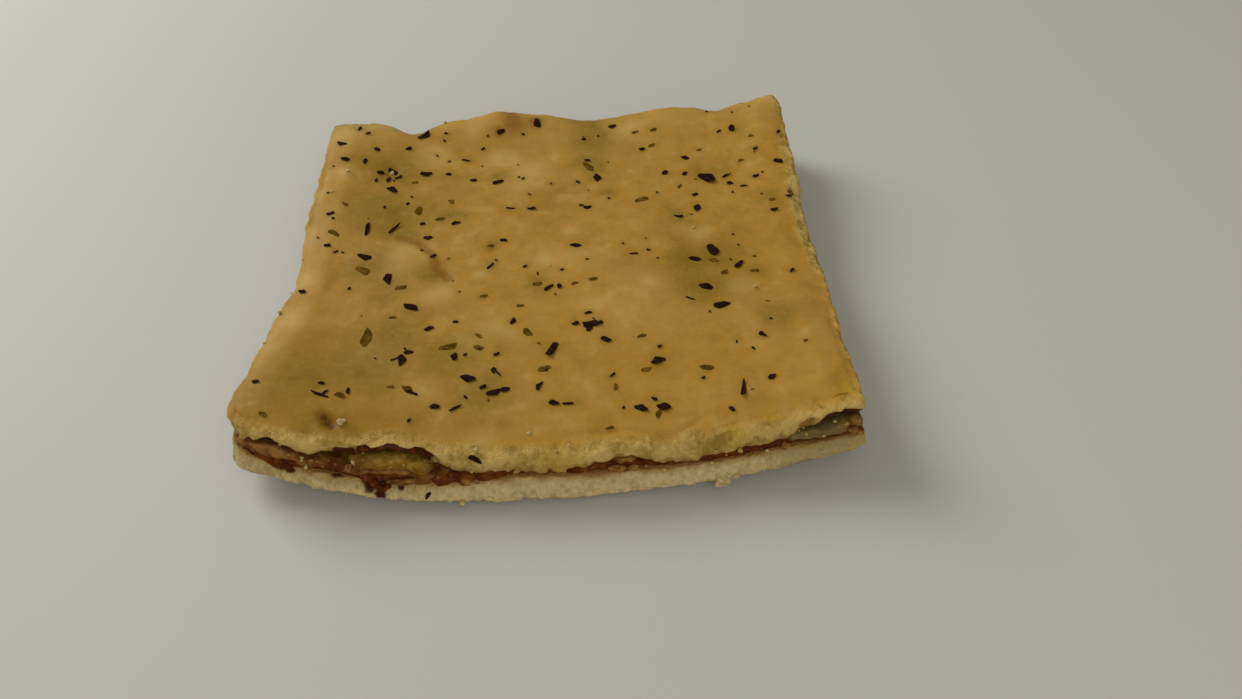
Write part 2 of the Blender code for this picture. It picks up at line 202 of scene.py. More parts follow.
# Small marks of the crust that the solids leave out: x, y, length, width, turn in degrees, height
CRUST_MARKS = (
    (-0.0544, -0.0660, 0.0028, 0.0014, -52, -0.0018),
    (-0.0395, 0.0055, 0.0050, 0.0018, -50, -0.0008),
    (-0.0325, -0.0070, 0.0050, 0.0018, -60, -0.0006),
    (-0.0188, 0.0040, 0.0014, 0.0012, 0, -0.0006),
    (-0.0700, 0.0440, 0.0024, 0.0013, -35, 0.0006),
    (0.0425, 0.0125, 0.0040, 0.0010, -20, 0.0005),
    (0.0585, -0.0180, 0.0030, 0.0009, 45, 0.0005),
    (-0.0040, -0.0060, 0.0022, 0.0016, 30, 0.0003),
    (-0.0100, 0.0770, 0.0050, 0.0020, 10, -0.0006),
    (0.0150, -0.0700, 0.0060, 0.0007, 4, -0.0005),
    (0.0270, -0.0705, 0.0055, 0.0006, -8, -0.0005),
    (0.0360, -0.0690, 0.0040, 0.0006, 24, -0.0005),
    (0.0080, -0.0010, 0.0260, 0.0055, -28, 0.0008),
    (0.0480, -0.0290, 0.0240, 0.0050, -12, 0.0008),
    (-0.0500, -0.0260, 0.0200, 0.0050, 14, 0.0005),
)

# Tones of the crust: x, y, radius
VALLEYS = (
    (-0.0550, 0.0470, 0.0090),
    (-0.0540, 0.0250, 0.0130),
    (-0.0470, 0.0130, 0.0065),
    (-0.0560, -0.0030, 0.0100),
    (-0.0470, -0.0120, 0.0085),
    (-0.0360, -0.0080, 0.0060),
    (-0.0430, -0.0330, 0.0080),
    (-0.0490, -0.0460, 0.0130),
    (-0.0640, -0.0510, 0.0120),
    (-0.0250, -0.0420, 0.0110),
    (-0.0170, -0.0560, 0.0080),
    (-0.0560, -0.0680, 0.0060),
    (-0.0055, -0.0130, 0.0045),
    (-0.0195, 0.0070, 0.0036),
    (-0.0200, 0.0440, 0.0050),
    (-0.0330, 0.0240, 0.0060),
    (0.0110, 0.0740, 0.0090),
    (0.0110, 0.0630, 0.0080),
    (0.0100, 0.0500, 0.0065),
    (0.0165, 0.0325, 0.0030),
    (0.0385, 0.0190, 0.0055),
    (0.0420, -0.0030, 0.0090),
    (0.0490, -0.0010, 0.0080),
    (0.0450, -0.0170, 0.0100),
    (0.0600, -0.0090, 0.0045),
    (0.0680, 0.0260, 0.0050),
    (0.0500, 0.0420, 0.0070),
    (0.0640, -0.0310, 0.0070),
)
BLISTERS = (
    (-0.0110, 0.0450, 0.0085),
    (-0.0185, 0.0540, 0.0055),
    (-0.0450, 0.0040, 0.0060),
    (-0.0345, -0.0170, 0.0042),
    (-0.0155, -0.0330, 0.0046),
    (-0.0330, -0.0560, 0.0036),
    (-0.0215, -0.0060, 0.0030),
    (-0.0035, -0.0020, 0.0034),
    (-0.0170, -0.0740, 0.0045),
    (-0.0715, 0.0435, 0.0034),
    (-0.0735, 0.0590, 0.0022),
    (-0.0700, 0.0660, 0.0080),
    (-0.0640, 0.0740, 0.0070),
    (-0.0750, -0.0090, 0.0045),
    (-0.0740, -0.0260, 0.0055),
    (-0.0780, -0.0400, 0.0050),
    (0.0445, 0.0110, 0.0038),
    (0.0535, -0.0165, 0.0042),
    (0.0055, 0.0130, 0.0028),
    (0.0750, 0.0750, 0.0055),
    (0.0250, 0.0690, 0.0060),
    (-0.0430, 0.0560, 0.0060),
    (0.0290, -0.0140, 0.0045),
    (0.0120, -0.0230, 0.0035),
    (-0.0790, 0.0150, 0.0050),
    (-0.0785, 0.0330, 0.0045),
)
# Browner patches of the crust: toasted crust, and painted shade on slopes turned from the light
TOASTED_AND_SHADED = (
    (0.0240, -0.0440, 0.0120),
    (0.0570, -0.0400, 0.0130),
    (-0.0590, -0.0190, 0.0110),
    (0.0210, -0.0080, 0.0120),
    (-0.0660, -0.0620, 0.0090),
    (0.0590, 0.0120, 0.0120),
    (-0.0010, 0.0150, 0.0120),
    (-0.0340, 0.0630, 0.0110),
    (-0.0690, 0.0270, 0.0080),
    (-0.0300, -0.0660, 0.0090),
    (0.0420, 0.0640, 0.0120),
    (0.0720, -0.0200, 0.0100),
)
SMEARS = (
    (-0.0160, 0.0725, 0.0050),
    (-0.0085, 0.0725, 0.0030),
    (-0.0215, 0.0670, 0.0022),
    (-0.0175, 0.0765, 0.0030),
)
STAINS = (
    (-0.0556, -0.0646, 0.0016),
    (-0.0545, -0.0659, 0.0018),
    (-0.0533, -0.0671, 0.0014),
    (-0.0562, 0.0478, 0.0020),
)
# The crease along a blister, drawn as a brown line of painted shade: the points of the line, and its half
# width
CREASE = (
    (-0.0485, 0.0118),
    (-0.0420, 0.0090),
    (-0.0370, 0.0020),
    (-0.0338, -0.0050),
    (-0.0312, -0.0095),
)
CREASE_WIDTH = 0.0019
# How strong the painted shade of the crease and the brown of the smears are, and the oily halo round each
# kind of flake
CREASE_DEPTH = 0.55
SMEARS_DEPTH = 0.66
HALO_DEPTHS = {"dark": 0.42, "sliver": 0.42, "olive": 0.25}
# Olive spots of the crust, partly olive tone and partly painted shade: x, y, radius
OLIVE_TINTS_AND_SHADE = (
    (-0.0520, 0.0220, 0.0240),
    (-0.0500, -0.0420, 0.0240),
    (-0.0720, -0.0620, 0.0120),
    (0.0120, 0.0600, 0.0150),
    (0.0430, -0.0060, 0.0150),
    (-0.0180, -0.0600, 0.0130),
    (-0.0600, 0.0500, 0.0160),
    (-0.0350, 0.0420, 0.0120),
    (-0.0150, 0.0620, 0.0110),
    (0.0000, 0.0350, 0.0120),
    (-0.0330, -0.0660, 0.0110),
    (-0.0520, -0.0640, 0.0100),
)
OIL_SPOTS = (
    (0.0020, -0.0790, 0.0050),
    (0.0775, -0.0630, 0.0026),
    (0.0480, -0.0715, 0.0020),
    (0.0565, -0.0675, 0.0016),
    (0.0060, -0.0770, 0.0030),
)

# Dried herbs that catch the eye: x, y, length, turn in degrees, kind, and how many small ones lie
# around each. They lie where the solids have them.
HERBS = (
    (-0.0745, 0.0595, 0.0043, -21, "dark", 2),
    (-0.0720, 0.0510, 0.0039, -4, "dark", 1),
    (-0.0560, 0.0480, 0.0050, -62, "dark", 4),
    (-0.0475, 0.0665, 0.0057, 52, "dark", 1),
    (-0.0445, 0.0465, 0.0046, 22, "dark", 2),
    (-0.0200, 0.0410, 0.0040, 24, "dark", 2),
    (-0.0080, 0.0715, 0.0050, -78, "dark", 0),
    (-0.0590, 0.0160, 0.0069, 91, "sliver", 1),
    (-0.0395, 0.0110, 0.0034, 0, "dark", 2),
    (-0.0575, 0.0020, 0.0049, -24, "dark", 0),
    (-0.0485, -0.0095, 0.0057, -66, "dark", 4),
    (-0.0010, -0.0150, 0.0039, 53, "dark", 3),
    (0.0430, 0.0510, 0.0037, -31, "dark", 1),
    (0.0500, 0.0395, 0.0074, -41, "dark", 3),
    (0.0130, 0.0415, 0.0045, -82, "dark", 1),
    (0.0450, 0.0230, 0.0043, 77, "dark", 2),
    (0.0735, 0.0435, 0.0042, -54, "dark", 0),
    (0.0065, 0.0040, 0.0042, 0, "dark", 1),
    (0.0480, 0.0015, 0.0056, -63, "dark", 2),
    (0.0555, -0.0065, 0.0040, 39, "dark", 1),
    (0.0445, -0.0160, 0.0053, -15, "dark", 1),
    (0.0480, -0.0255, 0.0057, 12, "dark", 2),
    (-0.0400, -0.0225, 0.0051, -37, "dark", 1),
    (-0.0510, -0.0335, 0.0077, 93, "olive", 0),
    (-0.0395, -0.0435, 0.0060, 88, "dark", 2),
    (0.0010, -0.0410, 0.0063, 70, "dark", 1),
    (-0.0020, -0.0555, 0.0034, 69, "dark", 2),
    (-0.0210, -0.0515, 0.0047, -22, "dark", 4),
    (0.0115, -0.0320, 0.0053, 5, "dark", 3),
    (0.0295, -0.0470, 0.0046, 9, "dark", 1),
    (0.0300, -0.0635, 0.0048, -11, "dark", 3),
    (0.0580, -0.0560, 0.0033, 26, "dark", 1),
    (-0.0445, 0.0260, 0.0049, 92, "olive", 0),
    (-0.0690, 0.0135, 0.0048, -35, "olive", 1),
    (-0.0570, -0.0045, 0.0067, -20, "olive", 0),
    (0.0100, 0.0480, 0.0051, -53, "olive", 0),
    (0.0275, 0.0285, 0.0054, 30, "olive", 0),
    (-0.0275, -0.0390, 0.0056, 20, "olive", 1),
    (-0.0060, -0.0340, 0.0044, -46, "olive", 0),
    (-0.0365, -0.0545, 0.0046, -32, "olive", 1),
    (0.0420, -0.0495, 0.0041, 0, "olive", 0),
    (0.0505, -0.0595, 0.0080, 81, "sliver", 0),
)
# Smaller ones that the photo shows one by one: x, y, length, turn in degrees, kind
MORE_HERBS = (
    (-0.0665, 0.0655, 0.0022, 40, "dark"),
    (-0.0625, 0.0575, 0.0026, -20, "dark"),
    (-0.0520, 0.0590, 0.0027, 30, "dark"),
    (-0.0605, 0.0420, 0.0023, 80, "dark"),
    (-0.0545, 0.0370, 0.0044, -15, "dark"),
    (-0.0370, 0.0465, 0.0026, -10, "dark"),
    (-0.0320, 0.0545, 0.0032, -10, "sliver"),
    (-0.0285, 0.0430, 0.0028, -5, "dark"),
    (-0.0205, 0.0675, 0.0036, 15, "dark"),
    (-0.0265, 0.0605, 0.0018, 40, "dark"),
    (-0.0400, 0.0680, 0.0016, 0, "dark"),
    (-0.0715, 0.0225, 0.0034, 5, "dark"),
    (-0.0510, 0.0165, 0.0058, 62, "sliver"),
    (-0.0485, 0.0300, 0.0017, 60, "dark"),
    (-0.0370, 0.0215, 0.0040, 10, "olive"),
    (-0.0315, 0.0185, 0.0034, 20, "dark"),
    (-0.0425, 0.0195, 0.0022, 0, "dark"),
    (-0.0365, 0.0005, 0.0028, 30, "dark"),
    (-0.0150, 0.0260, 0.0034, -5, "sliver"),
    (-0.0080, 0.0260, 0.0030, -8, "dark"),
    (-0.0700, 0.0080, 0.0026, -20, "dark"),
    (-0.0670, 0.0050, 0.0017, 30, "dark"),
    (-0.0440, -0.0135, 0.0036, 10, "olive"),
    (-0.0735, -0.0125, 0.0028, -15, "dark"),
    (-0.0190, -0.0035, 0.0038, 55, "sliver"),
    (-0.0195, 0.0060, 0.0024, 0, "olive"),
    (-0.0045, -0.0130, 0.0034, 0, "olive"),
    (0.0020, -0.0145, 0.0026, 80, "dark"),
    (0.0065, -0.0135, 0.0024, 10, "olive"),
    (0.0120, -0.0120, 0.0028, 5, "olive"),
    (-0.0445, -0.0265, 0.0024, 0, "olive"),
    (-0.0265, -0.0290, 0.0019, 0, "dark"),
    (-0.0380, -0.0405, 0.0030, 10, "dark"),
    (-0.0415, -0.0430, 0.0028, 35, "sliver"),
    (-0.0190, -0.0400, 0.0032, -5, "olive"),
    (-0.0140, -0.0430, 0.0019, 20, "dark"),
    (-0.0090, -0.0225, 0.0024, 10, "olive"),
    (0.0070, -0.0310, 0.0027, 0, "dark"),
    (0.0105, -0.0270, 0.0024, 10, "dark"),
    (0.0155, -0.0380, 0.0032, -15, "dark"),
    (-0.0010, -0.0485, 0.0042, 20, "olive"),
    (0.0020, -0.0610, 0.0032, 0, "dark"),
    (0.0055, -0.0612, 0.0038, 2, "sliver"),
    (-0.0136, -0.0573, 0.0044, 20, "dark"),
    (-0.0108, -0.0563, 0.0028, 15, "dark"),
    (-0.0165, -0.0550, 0.0022, 30, "dark"),
    (-0.0128, -0.0505, 0.0026, -50, "sliver"),
    (-0.0590, -0.0525, 0.0021, 0, "dark"),
    (-0.0583, -0.0572, 0.0062, -28, "sliver"),
    (-0.0573, -0.0565, 0.0032, 60, "sliver"),
    (-0.0530, -0.0570, 0.0040, -30, "olive"),
    (-0.0350, -0.0560, 0.0042, -28, "sliver"),
    (-0.0408, -0.0535, 0.0024, -10, "olive"),
    (-0.0283, -0.0610, 0.0030, 10, "dark"),
    (-0.0230, -0.0620, 0.0038, 30, "sliver"),
    (-0.0755, -0.0530, 0.0024, 0, "dark"),
    (-0.0700, -0.0655, 0.0026, -30, "olive"),
    (0.0085, 0.0640, 0.0017, 0, "dark"),
    (0.0097, 0.0515, 0.0030, -30, "dark"),
    (0.0265, 0.0665, 0.0026, 20, "olive"),
    (0.0330, 0.0665, 0.0032, 10, "olive"),
    (0.0285, 0.0575, 0.0028, -5, "dark"),
    (0.0480, 0.0545, 0.0024, 20, "olive"),
    (0.0360, 0.0440, 0.0030, 45, "dark"),
    (0.0425, 0.0430, 0.0026, 55, "dark"),
    (0.0560, 0.0395, 0.0040, 25, "sliver"),
    (0.0570, 0.0355, 0.0028, -15, "dark"),
    (0.0610, 0.0330, 0.0028, 5, "sliver"),
    (0.0655, 0.0370, 0.0026, 15, "dark"),
    (0.0615, 0.0465, 0.0026, 30, "olive"),
    (0.0670, 0.0510, 0.0022, 20, "dark"),
    (0.0555, 0.0620, 0.0017, 30, "dark"),
    (0.0660, 0.0575, 0.0022, 0, "olive"),
    (0.0755, 0.0585, 0.0024, 60, "dark"),
    (0.0390, 0.0190, 0.0030, 0, "dark"),
    (0.0100, 0.0250, 0.0030, 10, "dark"),
    (0.0080, 0.0265, 0.0020, -20, "dark"),
    (0.0240, 0.0000, 0.0032, 2, "sliver"),
    (0.0425, -0.0025, 0.0038, -15, "dark"),
    (0.0480, -0.0035, 0.0036, -10, "olive"),
    (0.0395, -0.0220, 0.0030, -25, "sliver"),
    (0.0595, -0.0095, 0.0032, 0, "olive"),
    (0.0690, 0.0190, 0.0028, 0, "dark"),
    (0.0690, 0.0240, 0.0028, 5, "olive"),
    (0.0745, 0.0255, 0.0024, -15, "dark"),
    (0.0580, -0.0385, 0.0026, -55, "dark"),
    (0.0253, -0.0375, 0.0028, 10, "olive"),
    (0.0260, -0.0500, 0.0036, 30, "olive"),
    (0.0170, -0.0515, 0.0026, 55, "sliver"),
    (0.0470, -0.0655, 0.0022, -40, "dark"),
    (0.0243, -0.0635, 0.0042, -20, "dark"),
    (0.0285, -0.0655, 0.0030, 70, "olive"),
    (0.0275, -0.0605, 0.0020, -30, "dark"),
    (0.0160, -0.0690, 0.0024, 0, "olive"),
)
SOLID_HERBS = 68
TINY_HERB = 0.0017
HERB_WIDTHS = {"dark": 0.66, "olive": 0.62, "sliver": 0.26}  # as a share of the length
SMALL_HERB_SPREAD = 0.0042
SMALL_HERB_LENGTH = (0.0010, 0.0033)
SMALL_HERBS_DARK = 0.6
HERB_FIELD = (-0.0755, 0.0755, -0.0680, 0.0745)
HERB_SPACING = 0.0050
FLAKE_SHARP_FROM = math.radians(35)
CURLED_THICKNESS = 0.00022  # a flake as thick as this curls fully
CUT_FLAKE_STANDS_OUT = 0.0006
OUT_OF_CUT = Vector((0.1, -1, 0.3)).normalized()

# Where the sauce runs down over the lower bread's cut: x, half width, drop
SAUCE_DRIPS = (
    (-0.0668, 0.0026, 0.0009),
    (-0.0432, 0.0028, 0.0013),
    (-0.0366, 0.0014, 0.0006),
    (-0.0262, 0.0026, 0.0008),
    (-0.0205, 0.0024, 0.0005),
    (0.0080, 0.0022, 0.0005),
    (0.0790, 0.0018, 0.0010),
)
# Where the sauce has run into the lower bread's front cut: x, height, half width, half height
CUT_STAINS = (
    (-0.0668, 0.0050, 0.0022, 0.0014),
    (-0.0640, 0.0046, 0.0016, 0.0010),
    (-0.0522, 0.0054, 0.0022, 0.0013),
    (-0.0436, 0.0038, 0.0026, 0.0020),
    (-0.0418, 0.0018, 0.0018, 0.0020),
    (-0.0366, 0.0040, 0.0012, 0.0013),
    (-0.0262, 0.0066, 0.0026, 0.0010),
)
# Where the upper bread's front cut gets painted shade over a pocket, in the dark colours of wet sauce: x,
# half width, share of its height
POCKETS = ((-0.0370, 0.0110, 0.60), (-0.0495, 0.0030, 0.40), (0.0745, 0.0050, 0.30))
# Lumps, or hollows below 0, of the upper bread's front cut: x, rise up the cut, radius, depth
LIP_LUMPS = (
    (-0.0640, 0.80, 0.0022, 0.0008),
    (-0.0590, 0.55, 0.0018, 0.0006),
    (-0.0420, 0.62, 0.0024, 0.0008),
    (-0.0350, 0.70, 0.0020, 0.0006),
    (-0.0270, 0.56, 0.0022, 0.0007),
    (-0.0315, 0.40, 0.0014, -0.0008),
    (-0.0130, 0.50, 0.0024, 0.0006),
    (0.0060, 0.45, 0.0026, 0.0006),
    (0.0300, 0.50, 0.0024, 0.0006),
    (0.0430, 0.62, 0.0018, -0.0009),
    (0.0490, 0.50, 0.0020, 0.0008),
    (0.0600, 0.55, 0.0020, 0.0008),
    (0.0640, 0.62, 0.0015, 0.0008),
    (0.0655, 0.24, 0.0018, -0.0012),
    (0.0682, 0.60, 0.0016, 0.0011),
    (0.0706, 0.72, 0.0014, 0.0009),
    (0.0730, 0.58, 0.0015, 0.0012),
    (0.0758, 0.66, 0.0015, 0.0011),
    (0.0745, 0.95, 0.0016, -0.0008),
    (0.0780, 0.50, 0.0014, 0.0010),
)
# Where the sauce comes to the front: x, half width, share
SAUCE_SHOWS = (
    (-0.0680, 0.0100, 1.0),
    (-0.0410, 0.0090, 1.0),
    (-0.0235, 0.0070, 1.0),
    (-0.0140, 0.0060, 0.7),
    (0.0080, 0.0030, 0.5),
    (0.0200, 0.0040, 0.4),
    (0.0480, 0.0100, 0.2),
    (0.0770, 0.0060, 0.4),
)
# Moist lumps on the front cut: x, height over the underside, half width, half height, depth
SAUCE_LUMPS = (
    (-0.0668, 0.0060, 0.0016, 0.0009, 0.0008),
    (-0.0645, 0.0054, 0.0012, 0.0009, 0.0007),
    (-0.0428, 0.0043, 0.0011, 0.0011, 0.0008),
    (-0.0412, 0.0030, 0.0013, 0.0012, 0.0009),
    (-0.0396, 0.0038, 0.0008, 0.0010, 0.0006),
    (-0.0270, 0.0066, 0.0013, 0.0010, 0.0009),
    (-0.0248, 0.0070, 0.0011, 0.0009, 0.0008),
    (-0.0226, 0.0081, 0.0014, 0.0008, 0.0008),
    (0.0790, 0.0056, 0.0011, 0.0008, 0.0007),
)
HAM_LUMPS = (
    (0.0772, 0.0060, 0.0013, 0.0010, 0.0012),
    (0.0790, 0.0052, 0.0011, 0.0009, 0.0010),
    (-0.0200, 0.0062, 0.0017, 0.0011, 0.0011),
    (-0.0172, 0.0067, 0.0013, 0.0008, 0.0009),
    (0.0175, 0.0079, 0.0026, 0.0009, 0.0009),
    (0.0215, 0.0076, 0.0016, 0.0007, 0.0008),
    (-0.0350, 0.0053, 0.0034, 0.0010, 0.0008),
    (-0.0308, 0.0059, 0.0024, 0.0009, 0.0008),
    (-0.0585, 0.0078, 0.0010, 0.0009, 0.0009),
    (-0.0490, 0.0076, 0.0008, 0.0011, 0.0010),
    (0.0600, 0.0060, 0.0010, 0.0009, 0.0009),
)

# Crumbs that catch the eye: x, y and size on the crust, and x, level and size on the front cut
CRUMBS_ON_CRUST = (
    (-0.0510, -0.0664, 0.0027),
    (-0.0562, 0.0473, 0.0019),
    (-0.0170, -0.0742, 0.0012),
    (-0.0040, -0.0700, 0.0010),
    (0.0060, -0.0735, 0.0011),
    (-0.0700, 0.0445, 0.0012),
    (-0.0735, 0.0340, 0.0012),
    (0.0430, 0.0125, 0.0010),
    (0.0585, -0.0180, 0.0009),
    (-0.0012, -0.0045, 0.0009),
)
CRUMBS_ON_CUT = (
    (0.0440, 0.03, 0.0046),
    (0.0475, 0.05, 0.0024),
    (-0.0214, 0.02, 0.0016),
    (-0.0600, 0.42, 0.0013),
    (-0.0330, 0.35, 0.0009),
    (-0.0212, 0.42, 0.0015),
    (-0.0192, 0.44, 0.0011),
    (-0.0203, 0.38, 0.0010),
    (0.0300, 0.40, 0.0009),
    (-0.0480, 0.62, 0.0015),
    (-0.0608, 0.55, 0.0017),
    (0.0738, 0.50, 0.0008),
    (0.0706, 0.42, 0.0009),
    (0.0560, 0.40, 0.0010),
    (0.0420, 0.40, 0.0008),
)
# Dark flakes that stick to the front cut: x, level, length, turn in radians
FLAKES_ON_CUT = (
    (-0.0296, 0.20, 0.0028, 1.0),
    (-0.0408, 0.36, 0.0014, 0.3),
    (-0.0470, 0.84, 0.0024, 0.2),
    (-0.0170, 0.90, 0.0040, -0.5),
)
# Small crumbs of each side, with the share of them on the upper rim and on the lower edge
SMALL_CRUMBS = {"front": 120, "right": 50, "left": 50, "back": 30}
LIP_CRUMBS_SHARE = 0.45
EDGE_CRUMBS_SHARE = 0.14
SMALL_CRUMB_SIZE = (0.0005, 0.0015)
CRUMB_SUNK = 0.2
CRUMB_LUMPS = ((0.42, 1.2), (0.24, 2.6), (0.09, 6.5))  # depth, and how many to a crumb
FINE_CRUMB = 0.0016  # crumbs larger than this have more faces
LIP_CRUMB_LEVELS = (0.50, 0.98)
EDGE_CRUMB_LEVELS = (0.00, 0.10)

# Name, place, width and power of each light, then the light from all round
LIGHTS = (
    ("window", (-0.95, 0.70, 0.85), 0.9, 15),
    ("room", (0.3, -1.2, 0.75), 1.6, 8),
)
WORLD_COLOUR = (1.0, 0.955, 0.87, 1)
WORLD_STRENGTH = 0.28
FLOOR_SIZE = 4

LUMP_SUNK = 0.0004
SHAPE_SEEDS = {
    "lip_crumbs": 4,
    "pale_crumbs": 4,
    "tomato_lumps": 3,
    "ham_lumps": 5,
    "dark_herbs": 7,
    "olive_herbs": 9,
}
CRUST_MASKS = ("valley", "blister_and_highlight", "stain", "oil", "olive_tint_and_shade")
ROOT = "root"


# Numbers


def smooth_step(t):
    t = np.clip(t, 0.0, 1.0)
    return t * t * (3 - 2 * t)


def bump(distance, width):
    return np.exp(-((distance / width) ** 2))


def blunt_bump(distance, width):
    """Like bump, with a flatter top and steeper sides."""
    return np.exp(-((distance / width) ** 4))


def belly(rise):
    """0 at both ends of a cut's height and 1 in its middle."""
    return 4 * rise * (1 - rise)


def quarter_round(turn):
    """How far a rounded edge has turned in, as turn goes from 0 to 1."""
    return 1 - np.sqrt(1 - turn**2)


def noise_at(points, length, shift=0.0):
    """Smooth noise, from about -1 to 1, with lumps of that length."""
    return np.array([noise.noise(point) for point in (points / length + shift).tolist()])


def flat_points(x, y):
    return np.column_stack((x, y, np.zeros_like(x)))


def cells_at(points, length, shift):
    """Distance to the nearest of scattered points, in units of their spacing."""
    return np.array([noise.voronoi(point)[0][0] for point in (points / length + shift).tolist()])


def spots(x, y, places):
    """From 0 to 1, how much a point lies in one of the round places."""
    most = np.zeros_like(x)
    for centre_x, centre_y, radius in places:
        most = np.maximum(most, bump(np.hypot(x - centre_x, y - centre_y), radius))
    return most


def line_mask(x, y, points, width):
    """From 0 to 1, how near a point lies to a line through the given points."""
    most = np.zeros_like(x)
    for (from_x, from_y), (to_x, to_y) in zip(points, points[1:]):
        step_x, step_y = to_x - from_x, to_y - from_y
        share = ((x - from_x) * step_x + (y - from_y) * step_y) / (step_x**2 + step_y**2)
        share = np.clip(share, 0, 1)
        distance = np.hypot(x - from_x - share * step_x, y - from_y - share * step_y)
        most = np.maximum(most, bump(distance, width))
    return most


# Shape of the slice


def front_line(across):
    rising = (across + 1) / (FRONT_BOW_PEAK + 1)
    falling = (1 - across) / (1 - FRONT_BOW_PEAK)
    share = np.clip(np.where(across < FRONT_BOW_PEAK, rising, falling), 0, 1)
    return FRONT_CORNER_Y - FRONT_BOW * np.sin(math.pi / 2 * share) ** 0.85


def front_inset(across, level):
    left = FRONT_INSET_LEFT * bump(across * HALF_WIDTH - FRONT_INSET_LEFT_X, 0.015)
    right = FRONT_INSET_RIGHT * smooth_step((across - 0.5) / 0.3)
    return (FRONT_INSET + right) * level + left * level**2


def sides(across, along, level):
    """The y of the front and the back, and the x of the left and the right, at a level."""
    front = front_line(across) + front_inset(across, level)
    back = BACK_Y + BACK_SKEW * across - BACK_INSET * level
    notch = LEFT_NOTCH * bump(along - LEFT_NOTCH_ALONG, LEFT_NOTCH_WIDTH)
    left = -HALF_WIDTH + LEFT_BOW * (1 - along**2) + notch + LEFT_INSET * level
    right = HALF_WIDTH - RIGHT_TAPER * (1 + along) - RIGHT_INSET * level
    return front, back, left, right


def plan(across, along, level):
    """(x, y) of a grid point. The slice's corners are pulled in a little."""
    front_left = (1 - across) / 2 * (1 - along) / 2
    at_underside, at_rim = CORNER_PULL_FRONT_LEFT
    pull = CORNER_PULL + (at_underside + (at_rim - at_underside) * level) * front_left
    scale = 1 - pull * np.abs(across * along) ** CORNER_SHARPNESS
    across, along = across * scale, along * scale
    front, back, left, right = sides(across, along, level)
    return left + (right - left) * (across + 1) / 2, front + (back - front) * (along + 1) / 2


def depths(x, y, level):
    """How far (x, y) lies inside the front, the back, the left side and the right side."""
    across = np.clip(x / HALF_WIDTH, -1, 1)
    along = np.clip(y / HALF_WIDTH, -1, 1)
    front, back, left, right = sides(across, along, level)
    return np.stack((y - front, back - y, x - left, right - x))


def curl(x, y):
    distance = np.hypot(x - CURL_CENTRE[0], y - CURL_CENTRE[1])
    return CURL_HEIGHT * smooth_step((distance - CURL_FLAT_RADIUS) / CURL_WIDTH)


def shown(x, y):
    """The sag, fold, swelling and gap of the filling where it shows, and how near its middle is."""
    amounts, fullest = np.zeros((4, len(x))), np.zeros(len(x))
    for centre_x, centre_y, reach_x, reach_y, *place in SHOWING:
        near = bump(x - centre_x, reach_x) * bump(y - centre_y, reach_y)
        amounts += near * np.array(place)[:, None]
        fullest = np.maximum(fullest, near)
    return *amounts, fullest


def coming_out(x, y):
    start, end = COMES_OUT
    return smooth_step((shown(x, y)[4] - start) / (end - start))


def base_top(x, y):
    start, end = BASE_RIGHT_LOSS_X
    height = BASE_HEIGHT + BASE_SWELL * bump(x - BASE_SWELL_X, BASE_SWELL_WIDTH)
    height += BASE_INNER_GAIN * (1 - (y / HALF_WIDTH) ** 4)
    return height - BASE_RIGHT_LOSS * smooth_step((x - start) / (end - start)) - shown(x, y)[0]


def sauce_top(x, y):
    return base_top(x, y) + GAP + SAUCE_THICKNESS


def ham_top(x, y):
    return sauce_top(x, y) + GAP + HAM_THICKNESS + shown(x, y)[1]


def cheese_top(x, y):
    return ham_top(x, y) + GAP + CHEESE_THICKNESS + shown(x, y)[2]


def roof(x, y):
    """The underside of the upper bread, which closes down on the sauce along the cuts."""
    closed, opened = BREAD_CLOSES
    inside = smooth_step((depths(x, y, FILLING_LEVEL).min(axis=0) - closed) / (opened - closed))
    inside = np.maximum(inside, smooth_step(OPENS_FROM * shown(x, y)[4]))
    low, high = sauce_top(x, y), cheese_top(x, y) + shown(x, y)[3] + LOOSE_FIT
    return low + (high - low) * inside + GAP


def crust_relief(x, y):
    flat = flat_points(x, y)
    relief = SWELL * noise_at(flat, SWELL_LENGTH)
    relief += RIPPLE * noise_at(flat, RIPPLE_LENGTH, np.array((0, 0, 50)))
    relief += DIMPLES * noise_at(flat, DIMPLES_LENGTH, np.array((0, 0, 20)))
    for centre_x, centre_y, radius, height in CRUST_FEATURES:
        relief += height * bump(np.hypot(x - centre_x, y - centre_y), radius)
    for centre_x, centre_y, length, width, turn, height in CRUST_MARKS:
        cosine, sine = math.cos(math.radians(turn)), math.sin(math.radians(turn))
        along = (x - centre_x) * cosine + (y - centre_y) * sine
        aside = (y - centre_y) * cosine - (x - centre_x) * sine
        relief += height * bump(along, length) * bump(aside, width)
    return relief


def crust(x, y):
    """The crust's height over the underside. It turns down to its rim along all four sides."""
    drops = np.array((FRONT_DROP, BACK_DROP, SIDE_DROP, SIDE_DROP))[:, None]
    turned_down = drops * (1 - smooth_step(depths(x, y, 1) / RIM_ROUNDING))
    turned_down = (turned_down**5).sum(axis=0) ** 0.2
    return CRUST_HEIGHT - turned_down * (1 - RIM_LIFT * shown(x, y)[4]) + crust_relief(x, y)


def crust_place(x, y):
    """The point of the crust at (x, y), and the crust's upward direction there."""
    step = 0.0004
    near_x = np.array((x, x + step, x - step, x, x))
    near_y = np.array((y, y, y, y + step, y - step))
    z = crust(near_x, near_y) + curl(near_x, near_y)
    upright = Vector((z[2] - z[1], z[4] - z[3], 2 * step)).normalized()
    return Vector((x, y, z[0])), upright


# Meshes


def new_boundary(block):
    return [edge for edge in block.edges if edge.is_boundary]


